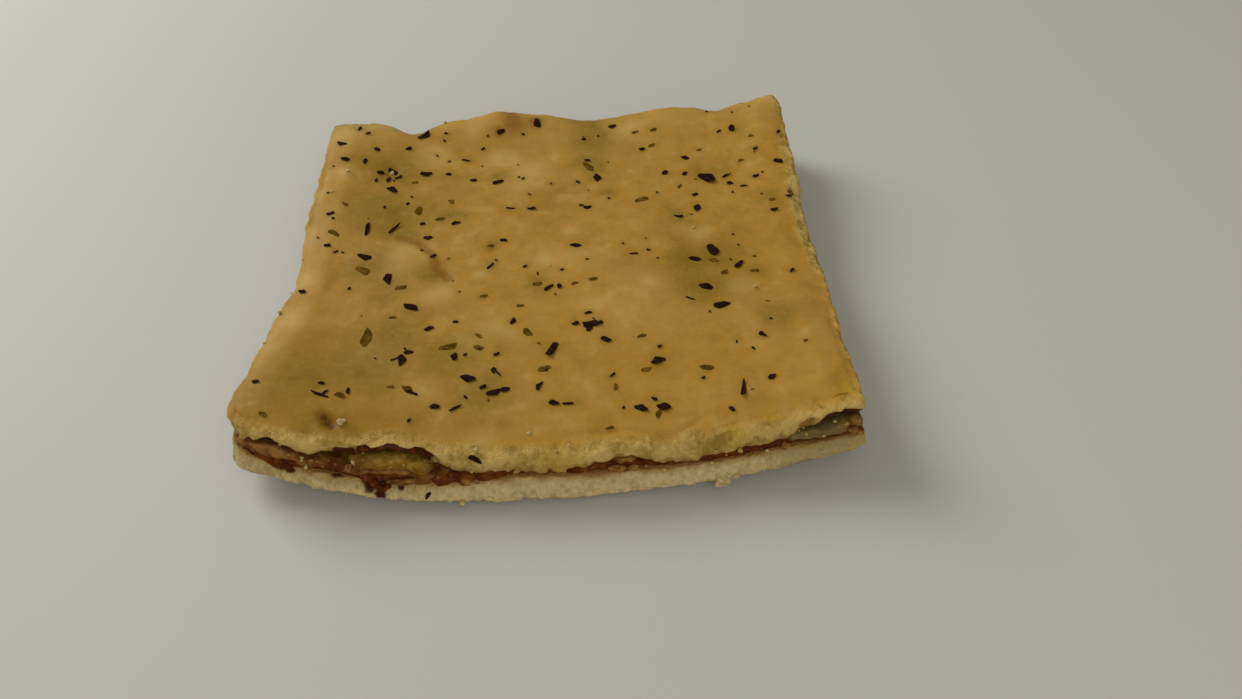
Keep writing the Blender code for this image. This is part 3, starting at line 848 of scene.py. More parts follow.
def unit_block(cells, border_cuts, wall_rows, finer):
    """A closed block of grid points (across, along, rise).

    Its top or its underside, whichever finer says, is an even grid. Round it the cells are cut
    further, so that the walls have finer columns. The hidden side is closed by a few rings.
    """
    block = bmesh.new()
    bmesh.ops.create_grid(block, x_segments=cells, y_segments=cells, size=1.0)
    grid_rise = 1.0 if finer == "top" else 0.0
    for point in block.verts:
        point.co.z = grid_rise
    bmesh.ops.subdivide_edges(block, edges=new_boundary(block), cuts=border_cuts)
    wall = bmesh.ops.extrude_edge_only(block, edges=new_boundary(block))["geom"]
    for part in wall:
        if isinstance(part, bmesh.types.BMVert):
            part.co.z = 1 - grid_rise
    uprights = [e for e in block.edges if abs(e.verts[0].co.z - e.verts[1].co.z) > 0.5]
    bmesh.ops.subdivide_edges(block, edges=uprights, cuts=wall_rows - 1, use_grid_fill=True)
    before = 1.0
    for share in (0.985, 0.95, 0.85, 0.6):
        ring = bmesh.ops.extrude_edge_only(block, edges=new_boundary(block))["geom"]
        for part in ring:
            if isinstance(part, bmesh.types.BMVert):
                part.co.xy *= share / before
        before = share
    bmesh.ops.contextual_create(block, geom=new_boundary(block))
    bmesh.ops.recalc_face_normals(block, faces=list(block.faces))
    return block


def finished(name, block):
    """The block as a mesh. The block is used up."""
    mesh = bpy.data.meshes.new(name)
    block.to_mesh(mesh)
    block.free()
    return mesh


def unit_mesh(name, block):
    """The block as a mesh, with its grid points as three arrays."""
    mesh = finished(name, block)
    points = np.zeros(len(mesh.vertices) * 3)
    mesh.vertices.foreach_get("co", points)
    return mesh, *points.reshape(-1, 3).T


def place_points(mesh, points):
    mesh.vertices.foreach_set("co", np.ascontiguousarray(points, np.float32).ravel())
    mesh.update()


def paint_mask(mesh, name, values):
    """Keeps a value for each point of the mesh, for its material to read."""
    layer = mesh.attributes.new(name, "FLOAT", "POINT")
    layer.data.foreach_set("value", np.clip(values, 0, 1).astype(np.float32))


def outwards(across, along):
    """The direction out of the nearest wall, turning at the corners."""
    direction = np.stack((np.sign(across) * np.abs(across) ** 14, np.sign(along) * np.abs(along) ** 14))
    return direction / np.maximum(np.hypot(*direction), 1e-9)


def crag(x, y, level):
    return CRAG * noise_at(np.column_stack((x, y, level * 0.03)), CRAG_LENGTH)


def crumb_relief(points, coarse):
    """How far torn crumb stands out: upright tears, lumps, grains and pores."""
    relief = 0.00030 * noise_at(points * (1, 1, 0.3), 0.0022, 3)
    relief += coarse * noise_at(points, 0.0042, 7)
    relief += 0.00040 * noise_at(points, 0.0015, 11)
    pores = np.clip(0.34 - cells_at(points, 0.0028, 5), 0, 1) / 0.34
    return relief - 0.0007 * pores**1.3


def on_walls(values, near, points):
    """The function's values where a point lies near a wall, and 0 elsewhere."""
    out = np.zeros(len(points))
    chosen = near > 0.02
    out[chosen] = values(points[chosen])
    return out * near


def add_piece(name, mesh, material, slot, *nodes):
    """Links the mesh as a piece of the slice that rides on its body."""
    mesh.polygons.foreach_set("use_smooth", [True] * len(mesh.polygons))
    mesh.materials.append(material)
    piece = bpy.data.objects.new(name, mesh)
    bpy.context.scene.collection.objects.link(piece)
    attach(piece, ROOT)
    if nodes:
        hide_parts(*nodes)


# Materials


PALE_HAM = (0.170, 0.118, 0.040)
SAUCED = (0.078, 0.015, 0.001)
# Roughness of each filling, how wet its wet spots are, and the colour of its specks
FINISHES = {
    "tomato": (0.55, 0.22, (0.24, 0.10, 0.02)),
    "ham": (0.6, 0.15, (0.36, 0.25, 0.11)),
    "cheese": (0.45, 0.3, (0.46, 0.34, 0.12)),
}


class Value:
    """A socket of a material, so that its maths reads as Python expressions."""

    def __init__(self, paint, socket):
        self.paint = paint
        self.socket = socket

    def maths(self, operation, first, second):
        node = self.paint.node("ShaderNodeMath", {"operation": operation}, {0: first, 1: second})
        return Value(self.paint, node.outputs[0])

    def __add__(self, other):
        return self.maths("ADD", self, other)

    def __radd__(self, other):
        return self.maths("ADD", other, self)

    def __sub__(self, other):
        return self.maths("SUBTRACT", self, other)

    def __rsub__(self, other):
        return self.maths("SUBTRACT", other, self)

    def __mul__(self, other):
        return self.maths("MULTIPLY", self, other)

    def __rmul__(self, other):
        return self.maths("MULTIPLY", other, self)


class Paint:
    """A material under construction: a Principled BSDF and the nodes that feed it."""

    def __init__(self, name, roughness, specular, **constants):
        self.material = bpy.data.materials.new(name)
        self.material.use_nodes = True
        self.tree = self.material.node_tree
        self.shader = self.tree.nodes["Principled BSDF"]
        self.set("Roughness", roughness)
        self.set("Specular IOR Level", specular)
        for socket, value in constants.items():
            self.set(socket.replace("_", " ").title(), value)
        self.place = self.node("ShaderNodeTexCoord").outputs["Object"]

    def connect(self, socket, value):
        if isinstance(value, Value):
            value = value.socket
        if isinstance(value, bpy.types.NodeSocket):
            self.tree.links.new(value, socket)
        else:
            socket.default_value = value

    def set(self, name, value):
        self.connect(self.shader.inputs[name], value)

    def node(self, kind, settings=None, inputs=None):
        """Any node: its settings are set first, then the values or links of its sockets."""
        made = self.tree.nodes.new(kind)
        for name, value in (settings or {}).items():
            setattr(made, name, value)
        for name, value in (inputs or {}).items():
            self.connect(made.inputs[name], value)
        return made

    def mask(self, name):
        """What paint_mask kept for the mesh."""
        return Value(self, self.node("ShaderNodeAttribute", {"attribute_name": name}).outputs["Fac"])

    def stretch(self, scale):
        """The place, stretched along an axis where that axis has a small scale."""
        settings = {"operation": "MULTIPLY"}
        return self.node("ShaderNodeVectorMath", settings, {0: self.place, 1: scale}).outputs[0]

    def noise(self, length, detail, place=None):
        """Noise from 0 to 1, with lumps of that length in metres."""
        inputs = {"Vector": place or self.place, "Scale": 1 / length, "Detail": detail}
        return Value(self, self.node("ShaderNodeTexNoise", {}, inputs).outputs["Fac"])

    def cells(self, length):
        """Distance to the nearest of scattered points that lie about that length apart."""
        inputs = {"Vector": self.place, "Scale": 1 / length}
        return Value(self, self.node("ShaderNodeTexVoronoi", {}, inputs).outputs["Distance"])

    def between(self, value, low, high):
        """0 where the value is at most low, 1 where it is at least high."""
        inputs = {"Value": value, "From Min": low, "From Max": high}
        made = self.node("ShaderNodeMapRange", {"interpolation_type": "SMOOTHSTEP"}, inputs)
        return Value(self, made.outputs[0])

    def mix(self, amount, first, second):
        """A colour between two others, each three numbers or a socket."""
        made = self.node("ShaderNodeMix", {"data_type": "RGBA"}, {0: amount})
        for socket, colour in ((6, first), (7, second)):
            if not isinstance(colour, bpy.types.NodeSocket):
                colour = (*colour, 1)
            self.connect(made.inputs[socket], colour)
        return made.outputs[2]

    def relief(self, height, distance):
        """A Bump node's normal. distance is the height in metres of a step from 0 to 1."""
        inputs = {"Height": height, "Strength": 1.0, "Distance": distance}
        return self.node("ShaderNodeBump", {}, inputs).outputs[0]


def bread_material(bread, name, crumb, crumb_dark):
    """Crust, torn crumb and baked underside, told apart by the masks that the meshes carry."""
    paint = Paint(name, 0.5, 0.08)
    tone = paint.noise(0.011, 3)
    cloudy = paint.noise(0.0072, 4)
    mottled = paint.noise(0.0042, 4)
    grain = paint.noise(0.0016, 4)
    stained = paint.mask("stain")
    tints = (
        # On the crust the toasted mask is partly painted shade of slopes
        (paint.mask("toasted") * 0.6, bread.toasted),
        (paint.between(tone, 0.35, 0.75) * 0.4, bread.toasted),
        # Olive tint, with painted shade in the crust's dips and shaded spots
        (paint.mask("olive_tint_and_shade") * 0.4, bread.valley),
        (paint.between(mottled, 0.48, 0.75) * 0.22, bread.valley),
        (paint.between(cloudy, 0.53, 0.72) * 0.34, bread.blister_and_highlight),
        ((1 - paint.between(cloudy, 0.30, 0.48)) * 0.26, bread.valley),
        # Pale blisters, with painted light on the crust's raised parts
        (paint.mask("blister_and_highlight") * (mottled + 0.12), bread.blister_and_highlight),
        (paint.mask("valley") * (mottled + 0.40), bread.valley),
        # The stain mask also holds the painted shade of the crease
        (paint.between(stained, 0.05, 0.55) * 0.8, bread.scorch),
        (paint.between(stained, 0.55, 0.95) * 0.9, bread.stain),
        (paint.between(grain, 0.45, 0.80) * 0.16, bread.blister_and_highlight),
    )
    crust_colour = bread.crust
    for amount, tint in tints:
        crust_colour = paint.mix(amount, crust_colour, tint)
    # Painted shade: crumb turns to its darker colour in its hollows, with random darker tone
    tone_and_hollow_shade = (paint.noise(0.0012, 4) - 0.5) * 0.9 + paint.mask("hollow_shade")
    crumb_colour = paint.mix(paint.between(tone_and_hollow_shade, 0.2, 0.9), crumb, crumb_dark)
    crumb_colour = paint.mix(paint.mask("soaked") * 0.85, crumb_colour, bread.soaked)
    edge = paint.between(paint.mask("crumb") + (grain - 0.5) * 0.5, 0.10, 0.95)
    colour = paint.mix(edge, crust_colour, crumb_colour)
    colour = paint.mix(paint.mask("oil") * 0.7, colour, bread.oil)
    # On the upper bread the sauced mask is painted shade over the pockets; on the lower bread it is sauce
    # run into the cut
    sauced = paint.between(paint.mask("sauced") + (paint.noise(0.0022, 3) - 0.5) * 0.9, 0.22, 0.74)
    lit = paint.between(paint.noise(0.0026, 3), 0.56, 0.82)
    sauce = paint.mix(lit, bread.sauce_dark, bread.sauce)
    paint.set("Base Color", paint.mix(sauced, colour, sauce))
    paint.set("Roughness", 0.52 + edge * 0.36 - paint.mask("oil") * 0.2 - sauced * 0.25)
    fine = paint.noise(0.0006, 3) * 0.5 + paint.noise(0.0022, 3)
    torn = paint.noise(0.0007, 4, paint.stretch((1, 1, 0.35))) * 1.4 + paint.noise(0.0011, 3)
    paint.set("Normal", paint.relief(fine * (1 - edge) * 0.14 + torn * edge, 0.00050))
    return paint.material


def moist_material(name, light, dark):
    """Wet filling: two tones that run into one another, with paler specks and wet spots.

    The mesh says where it is pale, and where sauce has stained it.
    """
    roughness, wet, speck = FINISHES[name]
    paint = Paint(name, roughness, 0.05, coat_roughness=0.18)
    blotches = paint.between(paint.noise(0.0030, 4), 0.35, 0.65)
    colour = paint.mix(blotches, dark, light)
    colour = paint.mix(paint.mask("pale") * 0.9, colour, PALE_HAM)
    colour = paint.mix(paint.mask("sauced") * 0.85, colour, SAUCED)
    specks = 1 - paint.between(paint.cells(0.0019), 0.10, 0.22)
    colour = paint.mix(specks * 0.5, colour, speck)
    paint.set("Base Color", colour)
    paint.set("Coat Weight", paint.between(paint.noise(0.0018, 3), 0.50, 0.70) * wet)
    paint.set("Normal", paint.relief(paint.noise(0.0012, 4), 0.0004))
    return paint.material


def herb_material(name, colour, light, dark):
    """Veined leaf, between a light and a dark share of its colour."""
    paint = Paint(name, 0.75, 0.0)
    tone = paint.between(paint.noise(0.0016, 3), 0.35, 0.7)
    shades = [[share * part for part in colour] for share in (dark, light)]
    paint.set("Base Color", paint.mix(tone, *shades))
    veins = paint.noise(0.0005, 3, paint.stretch((1, 0.3, 1)))
    paint.set("Normal", paint.relief(veins, 0.00012))
    return paint.material


# Settings


def colour_setting(name, description, default):
    return FloatVectorProperty(
        name=name, description=description, subtype="COLOR", size=3, min=0, max=1, default=default
    )


class PizzaSliceBread(bpy.types.PropertyGroup):
    crust: colour_setting("Crust", "Golden colour of the baked crust", (0.440, 0.240, 0.036))
    toasted: colour_setting("Toasted crust", "Where the oven browned it more", (0.375, 0.188, 0.020))
    # Also the colour of the painted light on the crust's raised parts
    blister_and_highlight: colour_setting("Blisters", "Pale, thin-skinned bubbles", (0.53, 0.355, 0.100))
    valley: colour_setting("Valleys", "Where oil and herbs gathered", (0.200, 0.121, 0.009))
    stain: colour_setting("Stains", "Scorched spots", (0.085, 0.030, 0.002))
    scorch: colour_setting("Scorch", "Orange brown round a stain", (0.235, 0.105, 0.008))
    # The sauce colours also paint the shade over the pockets of the upper bread's cut
    sauce: colour_setting("Sauce in the bread", "Wet sauce on the crumb", (0.175, 0.032, 0.003))
    sauce_dark: colour_setting("Dark sauce in the bread", "Its darker parts", (0.058, 0.011, 0.001))
    lip: colour_setting("Upper crumb", "Torn bread under the crust", (0.535, 0.370, 0.110))
    # Darker crumb for random tone and for painted shade in the hollows
    lip_dark: colour_setting("Upper crumb hollows", "Its pores and folds", (0.310, 0.195, 0.034))
    crumb: colour_setting("Lower crumb", "Torn bread at the lower cuts", (0.620, 0.474, 0.215))
    # Darker crumb for random tone and for painted shade in the hollows
    crumb_dark: colour_setting("Lower crumb hollows", "Its pores and folds", (0.400, 0.288, 0.112))
    soaked: colour_setting("Soaked crumb", "Crumb along the sauce", (0.250, 0.105, 0.018))
    oil: colour_setting("Oil", "Yellow oil soaked into the bread", (0.42, 0.27, 0.020))
    top_cells: IntProperty(name="Crust cells", description="Cells across the crust", default=200, min=20)
    side_rows: IntProperty(name="Side rows", description="Rows of cells up a cut side", default=22, min=4)
    crumb_seed: IntProperty(name="Crumb seed", description="Changes where the loose crumbs lie", default=17)


class PizzaSliceFilling(bpy.types.PropertyGroup):
    tomato: colour_setting("Tomato", "Lit tomato sauce", (0.165, 0.044, 0.004))
    tomato_dark: colour_setting("Dark tomato", "Baked tomato sauce", (0.068, 0.013, 0.001))
    ham: colour_setting("Ham", "Cooked ham", (0.300, 0.150, 0.036))
    ham_dark: colour_setting("Ham in sauce", "Ham that has taken up sauce", (0.135, 0.046, 0.008))
    cheese: colour_setting("Cheese", "Melted cheese", (0.360, 0.215, 0.034))
    cheese_dark: colour_setting("Oily cheese", "Cheese under its own oil", (0.200, 0.100, 0.008))


class PizzaSliceHerbs(bpy.types.PropertyGroup):
    dark: colour_setting("Dark flakes", "Dried herb flakes", (0.018, 0.0065, 0.0050))
    olive: colour_setting("Olive flakes", "Greener, thinner flakes", (0.125, 0.066, 0.006))
    thickness: FloatProperty(
        name="Thickness", description="Of a dark flake", subtype="DISTANCE", unit="LENGTH", default=0.00020
    )
    olive_thickness: FloatProperty(
        name="Olive thickness", description="Of an olive flake", subtype="DISTANCE", unit="LENGTH",
        default=0.00009,
    )
    singles: IntProperty(
        name="Single flakes", description="Small flakes between the others", default=105, min=0
    )
    seed: IntProperty(name="Seed", description="Changes where the small flakes lie", default=41)


class PizzaSliceStage(bpy.types.PropertyGroup):
    floor: colour_setting("Floor", "Pale floor", (0.53, 0.522, 0.470))
    camera_place: FloatVectorProperty(
        name="Camera", description="Where it stands", subtype="TRANSLATION", unit="LENGTH", size=3,
        default=(0.01947, -0.22596, 0.19133),
    )
    camera_pitch: FloatProperty(
        name="Pitch", description="How far it looks down", subtype="ANGLE", default=math.radians(43.433)
    )
    camera_roll: FloatProperty(
        name="Roll", description="How far it leans", subtype="ANGLE", default=math.radians(1.5946)
    )
    lens: FloatProperty(name="Lens", description="Focal length in millimetres", default=27.25, min=1)


# Bread


def tones(mesh, x, y, flakes):
    """Masks of the crust's tones, with soft darker halos of oil round the flakes. Raised parts get painted
    light; dips, a crease and some olive and toasted spots get painted shade.
    """
    wander = flat_points(x, y)
    shift_x = 0.0022 * noise_at(wander, 0.009, 21)
    shift_y = 0.0022 * noise_at(wander, 0.009, 31)
    near_x, near_y = x + shift_x, y + shift_y
    halo = np.zeros_like(x)
    for flake_x, flake_y, length, _, _, kind in flakes:
        distance = np.hypot(x - flake_x, y - flake_y)
        halo = np.maximum(halo, HALO_DEPTHS[kind] * bump(distance, 0.7 * length + 0.0006))
    # Painted light and shade from the relief: raised parts paler, dips darker olive
    relief = crust_relief(x, y) / 0.0014
    low, high = np.clip(-relief, 0, 1), np.clip(relief, 0, 1)
    paint_mask(mesh, "valley", np.maximum(0.75 * spots(near_x, near_y, VALLEYS), halo))
    paint_mask(mesh, "blister_and_highlight", np.maximum(spots(near_x, near_y, BLISTERS), 0.35 * high))
    # Toasted patches, partly painted shade on slopes turned from the light
    paint_mask(mesh, "toasted", spots(near_x, near_y, TOASTED_AND_SHADED))
    # Painted shade: a brown line along the crease, kept in the stain mask
    crease_shade = CREASE_DEPTH * line_mask(x + 0.4 * shift_x, y + 0.4 * shift_y, CREASE, CREASE_WIDTH)
    smears = SMEARS_DEPTH * spots(near_x, near_y, SMEARS)
    paint_mask(mesh, "stain", np.maximum(spots(x, y, STAINS), np.maximum(crease_shade, smears)))
    paint_mask(mesh, "oil", spots(near_x, near_y, OIL_SPOTS))
    paint_mask(mesh, "olive_tint_and_shade", np.maximum(spots(near_x, near_y, OLIVE_TINTS_AND_SHADE), low))


def lip_width(x, y):
    """How far in from the rim the crust is torn away, so that crumb shows."""
    width = np.full_like(x, LEAST_TORN)
    for centre_x, centre_y, reach_x, reach_y, torn in TORN_RIM:
        width += torn * bump(x - centre_x, reach_x) * bump(y - centre_y, reach_y)
    return width


def lip_lumps(points):
    """Lumps of the torn rim, with leaning tears at the right end of the front."""
    x, y, z = points.T
    lumps = 0.00050 * noise_at(points, 0.0034, 51) + 0.00034 * noise_at(points, 0.0015, 53)
    leaning = np.column_stack((x + y, (x - y) * 0.25, z))
    return lumps + 0.0007 * noise_at(leaning, 0.0020, 57) * smooth_step((x - 0.068) / 0.004)


def closer_at_edges(share):
    """Grid lines that stand closer together towards the sides."""
    return share * 0.62 + np.sin(share * math.pi / 2) * 0.38


def make_upper_bread(bread, flakes):
    """The crust and the torn cuts below it, with the masks that tell its material where each is."""
    block = unit_block(bread.top_cells, 1, bread.side_rows, "top")
    mesh, across, along, rise = unit_mesh("upper_bread", block)
    across, along = closer_at_edges(across), closer_at_edges(along)
    level = UPPER_BREAD_FROM + (1 - UPPER_BREAD_FROM) * rise
    x, y = plan(across, along, level)
    inside = (1 - np.maximum(np.abs(across), np.abs(along))) * HALF_WIDTH
    reaches = (NEAR_WALL, BESIDE_WALL, AROUND_WALL)
    near, beside, around = (np.exp(-inside / reach) for reach in reaches)
    turn = np.clip((rise - RIM_TURNS_FROM) / (1 - RIM_TURNS_FROM), 0, 1)
    out = beside * crag(x, y, level) + near * UPPER_BULGE * belly(rise)
    out -= around * RIM_TUCK * quarter_round(turn)
    direction = outwards(across, along)
    x, y = x + direction[0] * out, y + direction[1] * out
    low, high = roof(x, y), crust(x, y)
    points = np.column_stack((x, y, curl(x, y) + low + (high - low) * rise))
    points[:, 2] -= RIM_SINK * np.exp(-inside / RIM_SINK_REACH) * turn**2
    rough = on_walls(lambda p: crumb_relief(p, UPPER_LUMPS), near * (1 - 0.4 * rise), points)
    for lump_x, lump_rise, radius, depth in LIP_LUMPS:
        at_front = near * (along < FRONT_WALL) * bump(x - lump_x, radius)
        rough += LIP_LUMP_SCALE * depth * at_front * bump(rise - lump_rise, LIP_LUMP_RISE)
    below = (1 - rise) * (high - low)
    ragged = RAGGED * on_walls(lambda p: noise_at(p, RAGGED_LENGTH, 41), around, points)
    fading = smooth_step((lip_width(x, y) + ragged - inside + below) / CRUST_FADES + 0.25)
    fading = np.where(rise < 0.001, 1, fading)
    lumps = on_walls(lip_lumps, fading * around * (rise > 0.5), points)
    points[:, 0] += direction[0] * rough
    points[:, 1] += direction[1] * rough
    points[:, 2] += lumps
    hanging = near * bump(rise, 0.3) * (1 - coming_out(x, y))
    uneven = HANGS_UNEVENLY * on_walls(lambda p: noise_at(p, HANGS_LENGTH, 43), hanging, points)
    points[:, 2] -= hanging * (HANGS + uneven)
    place_points(mesh, points)
    tones(mesh, points[:, 0], points[:, 1], flakes)
    paint_mask(mesh, "crumb", fading)
    # Painted shade in the hollows of the torn crumb
    paint_mask(mesh, "hollow_shade", 0.5 - (rough + lumps) / 0.0016)
    soak = on_walls(lambda p: 0.75 + 0.6 * noise_at(p, 0.005, 73), near, points)
    paint_mask(mesh, "soaked", bump(rise, 0.17) * soak)
    # Painted shade over the pockets, in sauce colours, kept in the sauced mask
    wet = np.zeros_like(x)
    for pocket_x, half_width, share in POCKETS:
        reach = blunt_bump(x - pocket_x, half_width) * (y < FRONT_PART)
        wet = np.maximum(wet, reach * smooth_step((share - rise) / 0.16 + 0.5))
    paint_mask(mesh, "sauced", wet)
    return mesh


def make_lower_bread(bread):
    """The pale lower bread: its cuts, its baked underside and the sauce that has run into it."""
    block = unit_block(LOWER_BREAD_CELLS, 3, bread.side_rows - 4, "underside")
    mesh, across, along, rise = unit_mesh("lower_bread", block)
    level = LOWER_BREAD_TO * rise
    x, y = plan(across, along, level)
    edge = np.maximum(np.abs(across), np.abs(along))
    near = np.exp(-(1 - edge) * HALF_WIDTH / NEAR_WALL)
    turn = np.clip(1 - rise / LOWER_TURNS_TO, 0, 1)
    out = crag(x, y, level) + LOWER_BULGE * belly(rise) - LOWER_TUCK * quarter_round(turn)
    direction = outwards(across, along)
    x, y = x + direction[0] * out * near, y + direction[1] * out * near
    points = np.column_stack((x, y, curl(x, y) + base_top(x, y) * rise))
    rough = on_walls(lambda p: crumb_relief(p, LOWER_LUMPS), near, points)
    points[:, 0] += direction[0] * rough
    points[:, 1] += direction[1] * rough
    low = (rise < 0.001) * (1 - near)
    dents = np.clip(on_walls(lambda p: noise_at(p, UNDER_DENTS_LENGTH, 61), low, points), 0, 1)
    points[:, 2] += UNDER_DENTS * low * dents
    place_points(mesh, points)
    for name in CRUST_MASKS:
        paint_mask(mesh, name, np.zeros_like(x))
    paint_mask(mesh, "toasted", low)
    paint_mask(mesh, "crumb", smooth_step(rise / 0.12) + 0.6 * near)
    # Painted shade: the front cut's crumb darker towards its far right and far left, and in its hollows
    shaded = 0.55 * smooth_step((x - 0.045) / 0.025) + 0.22 * smooth_step((-0.05 - x) / 0.02)
    paint_mask(mesh, "hollow_shade", 0.42 + shaded * (y < FRONT_PART) - rough / 0.0024)
    stained = bump(x + 0.044, 0.016) * (y < FRONT_CUT)
    soak = bump(1 - rise, 0.17 + 0.2 * stained) * (0.7 + 0.8 * noise_at(points, 0.004, 71))
    paint_mask(mesh, "soaked", soak * (rise < 0.999) + (rise > 0.999))
    sauced = np.zeros_like(x)
    for stain_x, height, half_width, half_height in CUT_STAINS:
        at_front = near * (along < FRONT_WALL) * bump(x - stain_x, half_width)
        sauced = np.maximum(sauced, at_front * bump(base_top(x, y) * rise - height, half_height))
    paint_mask(mesh, "sauced", sauced)
    return mesh


def cut_place(across, along, level):
    """A point on a cut side, at a share of the slice's whole height."""
    x, y = plan(np.array((across,)), np.array((along,)), level)
    return Vector((x[0], y[0], (curl(x, y) + crust(x, y) * level)[0]))


def small_crumbs(draw, levels, share_of_all):
    """Places and sizes of small crumbs along the four sides, between two levels."""
    shortest, longest = SMALL_CRUMB_SIZE
    for side, count in SMALL_CRUMBS.items():
        for _ in range(round(count * share_of_all)):
            share = draw.uniform(-0.97, 0.97)
            border = {"front": (share, -1), "back": (share, 1), "left": (-1, share), "right": (1, share)}
            size = shortest + (longest - shortest) * draw.random() ** 2
            place = cut_place(*border[side], draw.uniform(*levels))
            place.xy *= 1 - CRUMB_SUNK * size / HALF_WIDTH
            yield place, size


def lip_crumbs(seed):
    return list(small_crumbs(random.Random(seed), LIP_CRUMB_LEVELS, LIP_CRUMBS_SHARE))


def pale_crumbs(seed):
    """The named crumbs, and small ones that hang on the lower edges."""
    places = [(crust_place(x, y)[0] + Vector((0, 0, 0.12 * size)), size) for x, y, size in CRUMBS_ON_CRUST]
    places += [(cut_place(x / HALF_WIDTH, -1, level), size) for x, level, size in CRUMBS_ON_CUT]
    return places + list(small_crumbs(random.Random(seed + 1), EDGE_CRUMB_LEVELS, EDGE_CRUMBS_SHARE))


def random_shift(draw):
    """Moves the noise elsewhere, so that no two lumps are alike."""
    return Vector((draw.random(), draw.random(), draw.random())) * 50


def crumb_mesh(name, places):
    """Loose crumbs as lumpy balls, from their places and sizes."""
    draw = random.Random(SHAPE_SEEDS[name])
    whole = bmesh.new()
    for place, size in places:
        place.z = max(place.z, 0.4 * size)
        shift = random_shift(draw)
        stretch = Vector((draw.uniform(0.7, 1.2), draw.uniform(0.7, 1.1), draw.uniform(0.5, 0.9))) * size / 2
        fineness = 4 if size > FINE_CRUMB else 2
        for point in bmesh.ops.create_icosphere(whole, subdivisions=fineness, radius=1)["verts"]:
            swell = 1 + sum(depth * noise.noise(point.co * rate + shift) for depth, rate in CRUMB_LUMPS)
            point.co = point.co * swell * stretch + place
    mesh = finished(name, whole)
    for mask in (*CRUST_MASKS, "toasted", "soaked", "sauced"):
        paint_mask(mesh, mask, np.zeros(len(mesh.vertices)))
    paint_mask(mesh, "crumb", np.ones(len(mesh.vertices)))
    paint_mask(mesh, "hollow_shade", np.full(len(mesh.vertices), 0.5))
    return mesh


class PIZZASLICE_OT_bread(bpy.types.Operator):
    """Make the upper bread with its crust, and the lower bread"""

    bl_idname = "pizza_slice.bread"
    bl_label = "Bread"

    def execute(self, context):
        bread = context.scene.pizza_slice_bread
        flakes = herb_flakes(context.scene.pizza_slice_herbs)
        upper = bread_material(bread, "upper_bread", bread.lip, bread.lip_dark)
        lower = bread_material(bread, "lower_bread", bread.crumb, bread.crumb_dark)
        add_piece("upper_bread", make_upper_bread(bread, flakes), upper, "crust", "bread_top")
        add_piece("lower_bread", make_lower_bread(bread), lower, "crumb", "bread_base")
        add_piece("lip_crumbs", crumb_mesh("lip_crumbs", lip_crumbs(bread.crumb_seed)), upper, "crumb")
        add_piece("pale_crumbs", crumb_mesh("pale_crumbs", pale_crumbs(bread.crumb_seed)), lower, "crumb")
        return {"FINISHED"}


# Filling


def ham_shows(x, y):
    return smooth_step(shown(x, y)[1] / 0.0005 + shown(x, y)[2] / 0.0012)


def cheese_shows(x, y):
    return smooth_step((shown(x, y)[2] - 0.0008) / 0.0014)


def sauce_drop(x, y):
    """How far the sauce hangs down over the lower bread's cut."""
    flat = flat_points(x, y)
    drop = 0.0007 * np.clip(noise_at(flat, 0.006, 91) + 0.1, 0, 1)
    wavy_x = x + 0.0009 * noise_at(flat, 0.0030, 97)
    for centre_x, half_width, most in SAUCE_DRIPS:
        drop = np.maximum(drop, most * blunt_bump(wavy_x - centre_x, half_width) * (y < FRONT_CUT))
    drop *= 0.8 + 0.5 * noise_at(flat, 0.0024, 99)
    return drop * smooth_step((sauce_shows(x, y) - 0.88) / 0.1)


def sauce_shows(x, y):
    """1 where the sauce stands at the cut, 0.8 where it stays back."""
    most = 0.45 + 0.5 * noise_at(flat_points(x, y), 0.012, 95)
    most = np.where(y < FRONT_CUT, 0, most)
    for centre_x, half_width, share in SAUCE_SHOWS:
        most = np.maximum(most, share * bump(x - centre_x, half_width) * (y < FRONT_CUT))
    return 0.80 + 0.24 * np.clip(most, 0, 1)


def filling_layer(name, levels, bottom, top, shows, bulge, waviness, drop=None):
    """A moist layer between two height functions, with an uneven, folded edge at the cuts."""
    mesh, across, along, rise = unit_mesh(name, unit_block(FILLING_CELLS, 6, FILLING_ROWS, "top"))
    level = levels[0] + (levels[1] - levels[0]) * rise
    x, y = plan(across, along, level)
    inside = (1 - np.maximum(np.abs(across), np.abs(along))) * HALF_WIDTH
    near, beside = np.exp(-inside / 0.004), np.exp(-inside / 0.0008)
    flat = np.column_stack((x, y, rise * 0.004))
    out = crag(x, y, level) + bulge * belly(rise) - FILLING_RECESS * (1 - shows(x, y))
    out += waviness * (noise_at(flat, 0.0065, 81) + 0.6 * noise_at(flat, 0.0022, 83))
    falling = drop(x, y) * beside if drop else np.zeros_like(x)
    out = out * near + (0.95 * falling + 0.0006 * smooth_step(falling / 0.001)) * (1 - rise)
    direction = outwards(across, along)
    x, y = x + direction[0] * out, y + direction[1] * out
    low, high = bottom(x, y) - falling, top(x, y)
    folds = waviness * 0.7 * near * noise_at(np.column_stack((x, y, rise * 0.002)), 0.0034, 87)
    points = np.column_stack((x, y, curl(x, y) + low + (high - low) * rise + folds))
    place_points(mesh, points)
    speckle = noise_at(points, 0.003, 93)
    pale = smooth_step((x - 0.045) / 0.02) * (1 - smooth_step((x - 0.074) / 0.002)) * (y < FRONT_PART)
    paint_mask(mesh, "pale", pale * (name == "ham_layer"))
    wrapped = np.maximum(bump(x + 0.0505, 0.0055), bump(x + 0.0260, 0.0035))
    if name == "tomato_layer":
        wrapped = np.maximum(wrapped, 0.6 * smooth_step((x - 0.010) / 0.02))
    speckled = np.clip(speckle - 0.25, 0, 1)
    paint_mask(mesh, "sauced", (y < FRONT_CUT) * wrapped * (0.9 + 0.8 * speckle) + speckled)
    return mesh


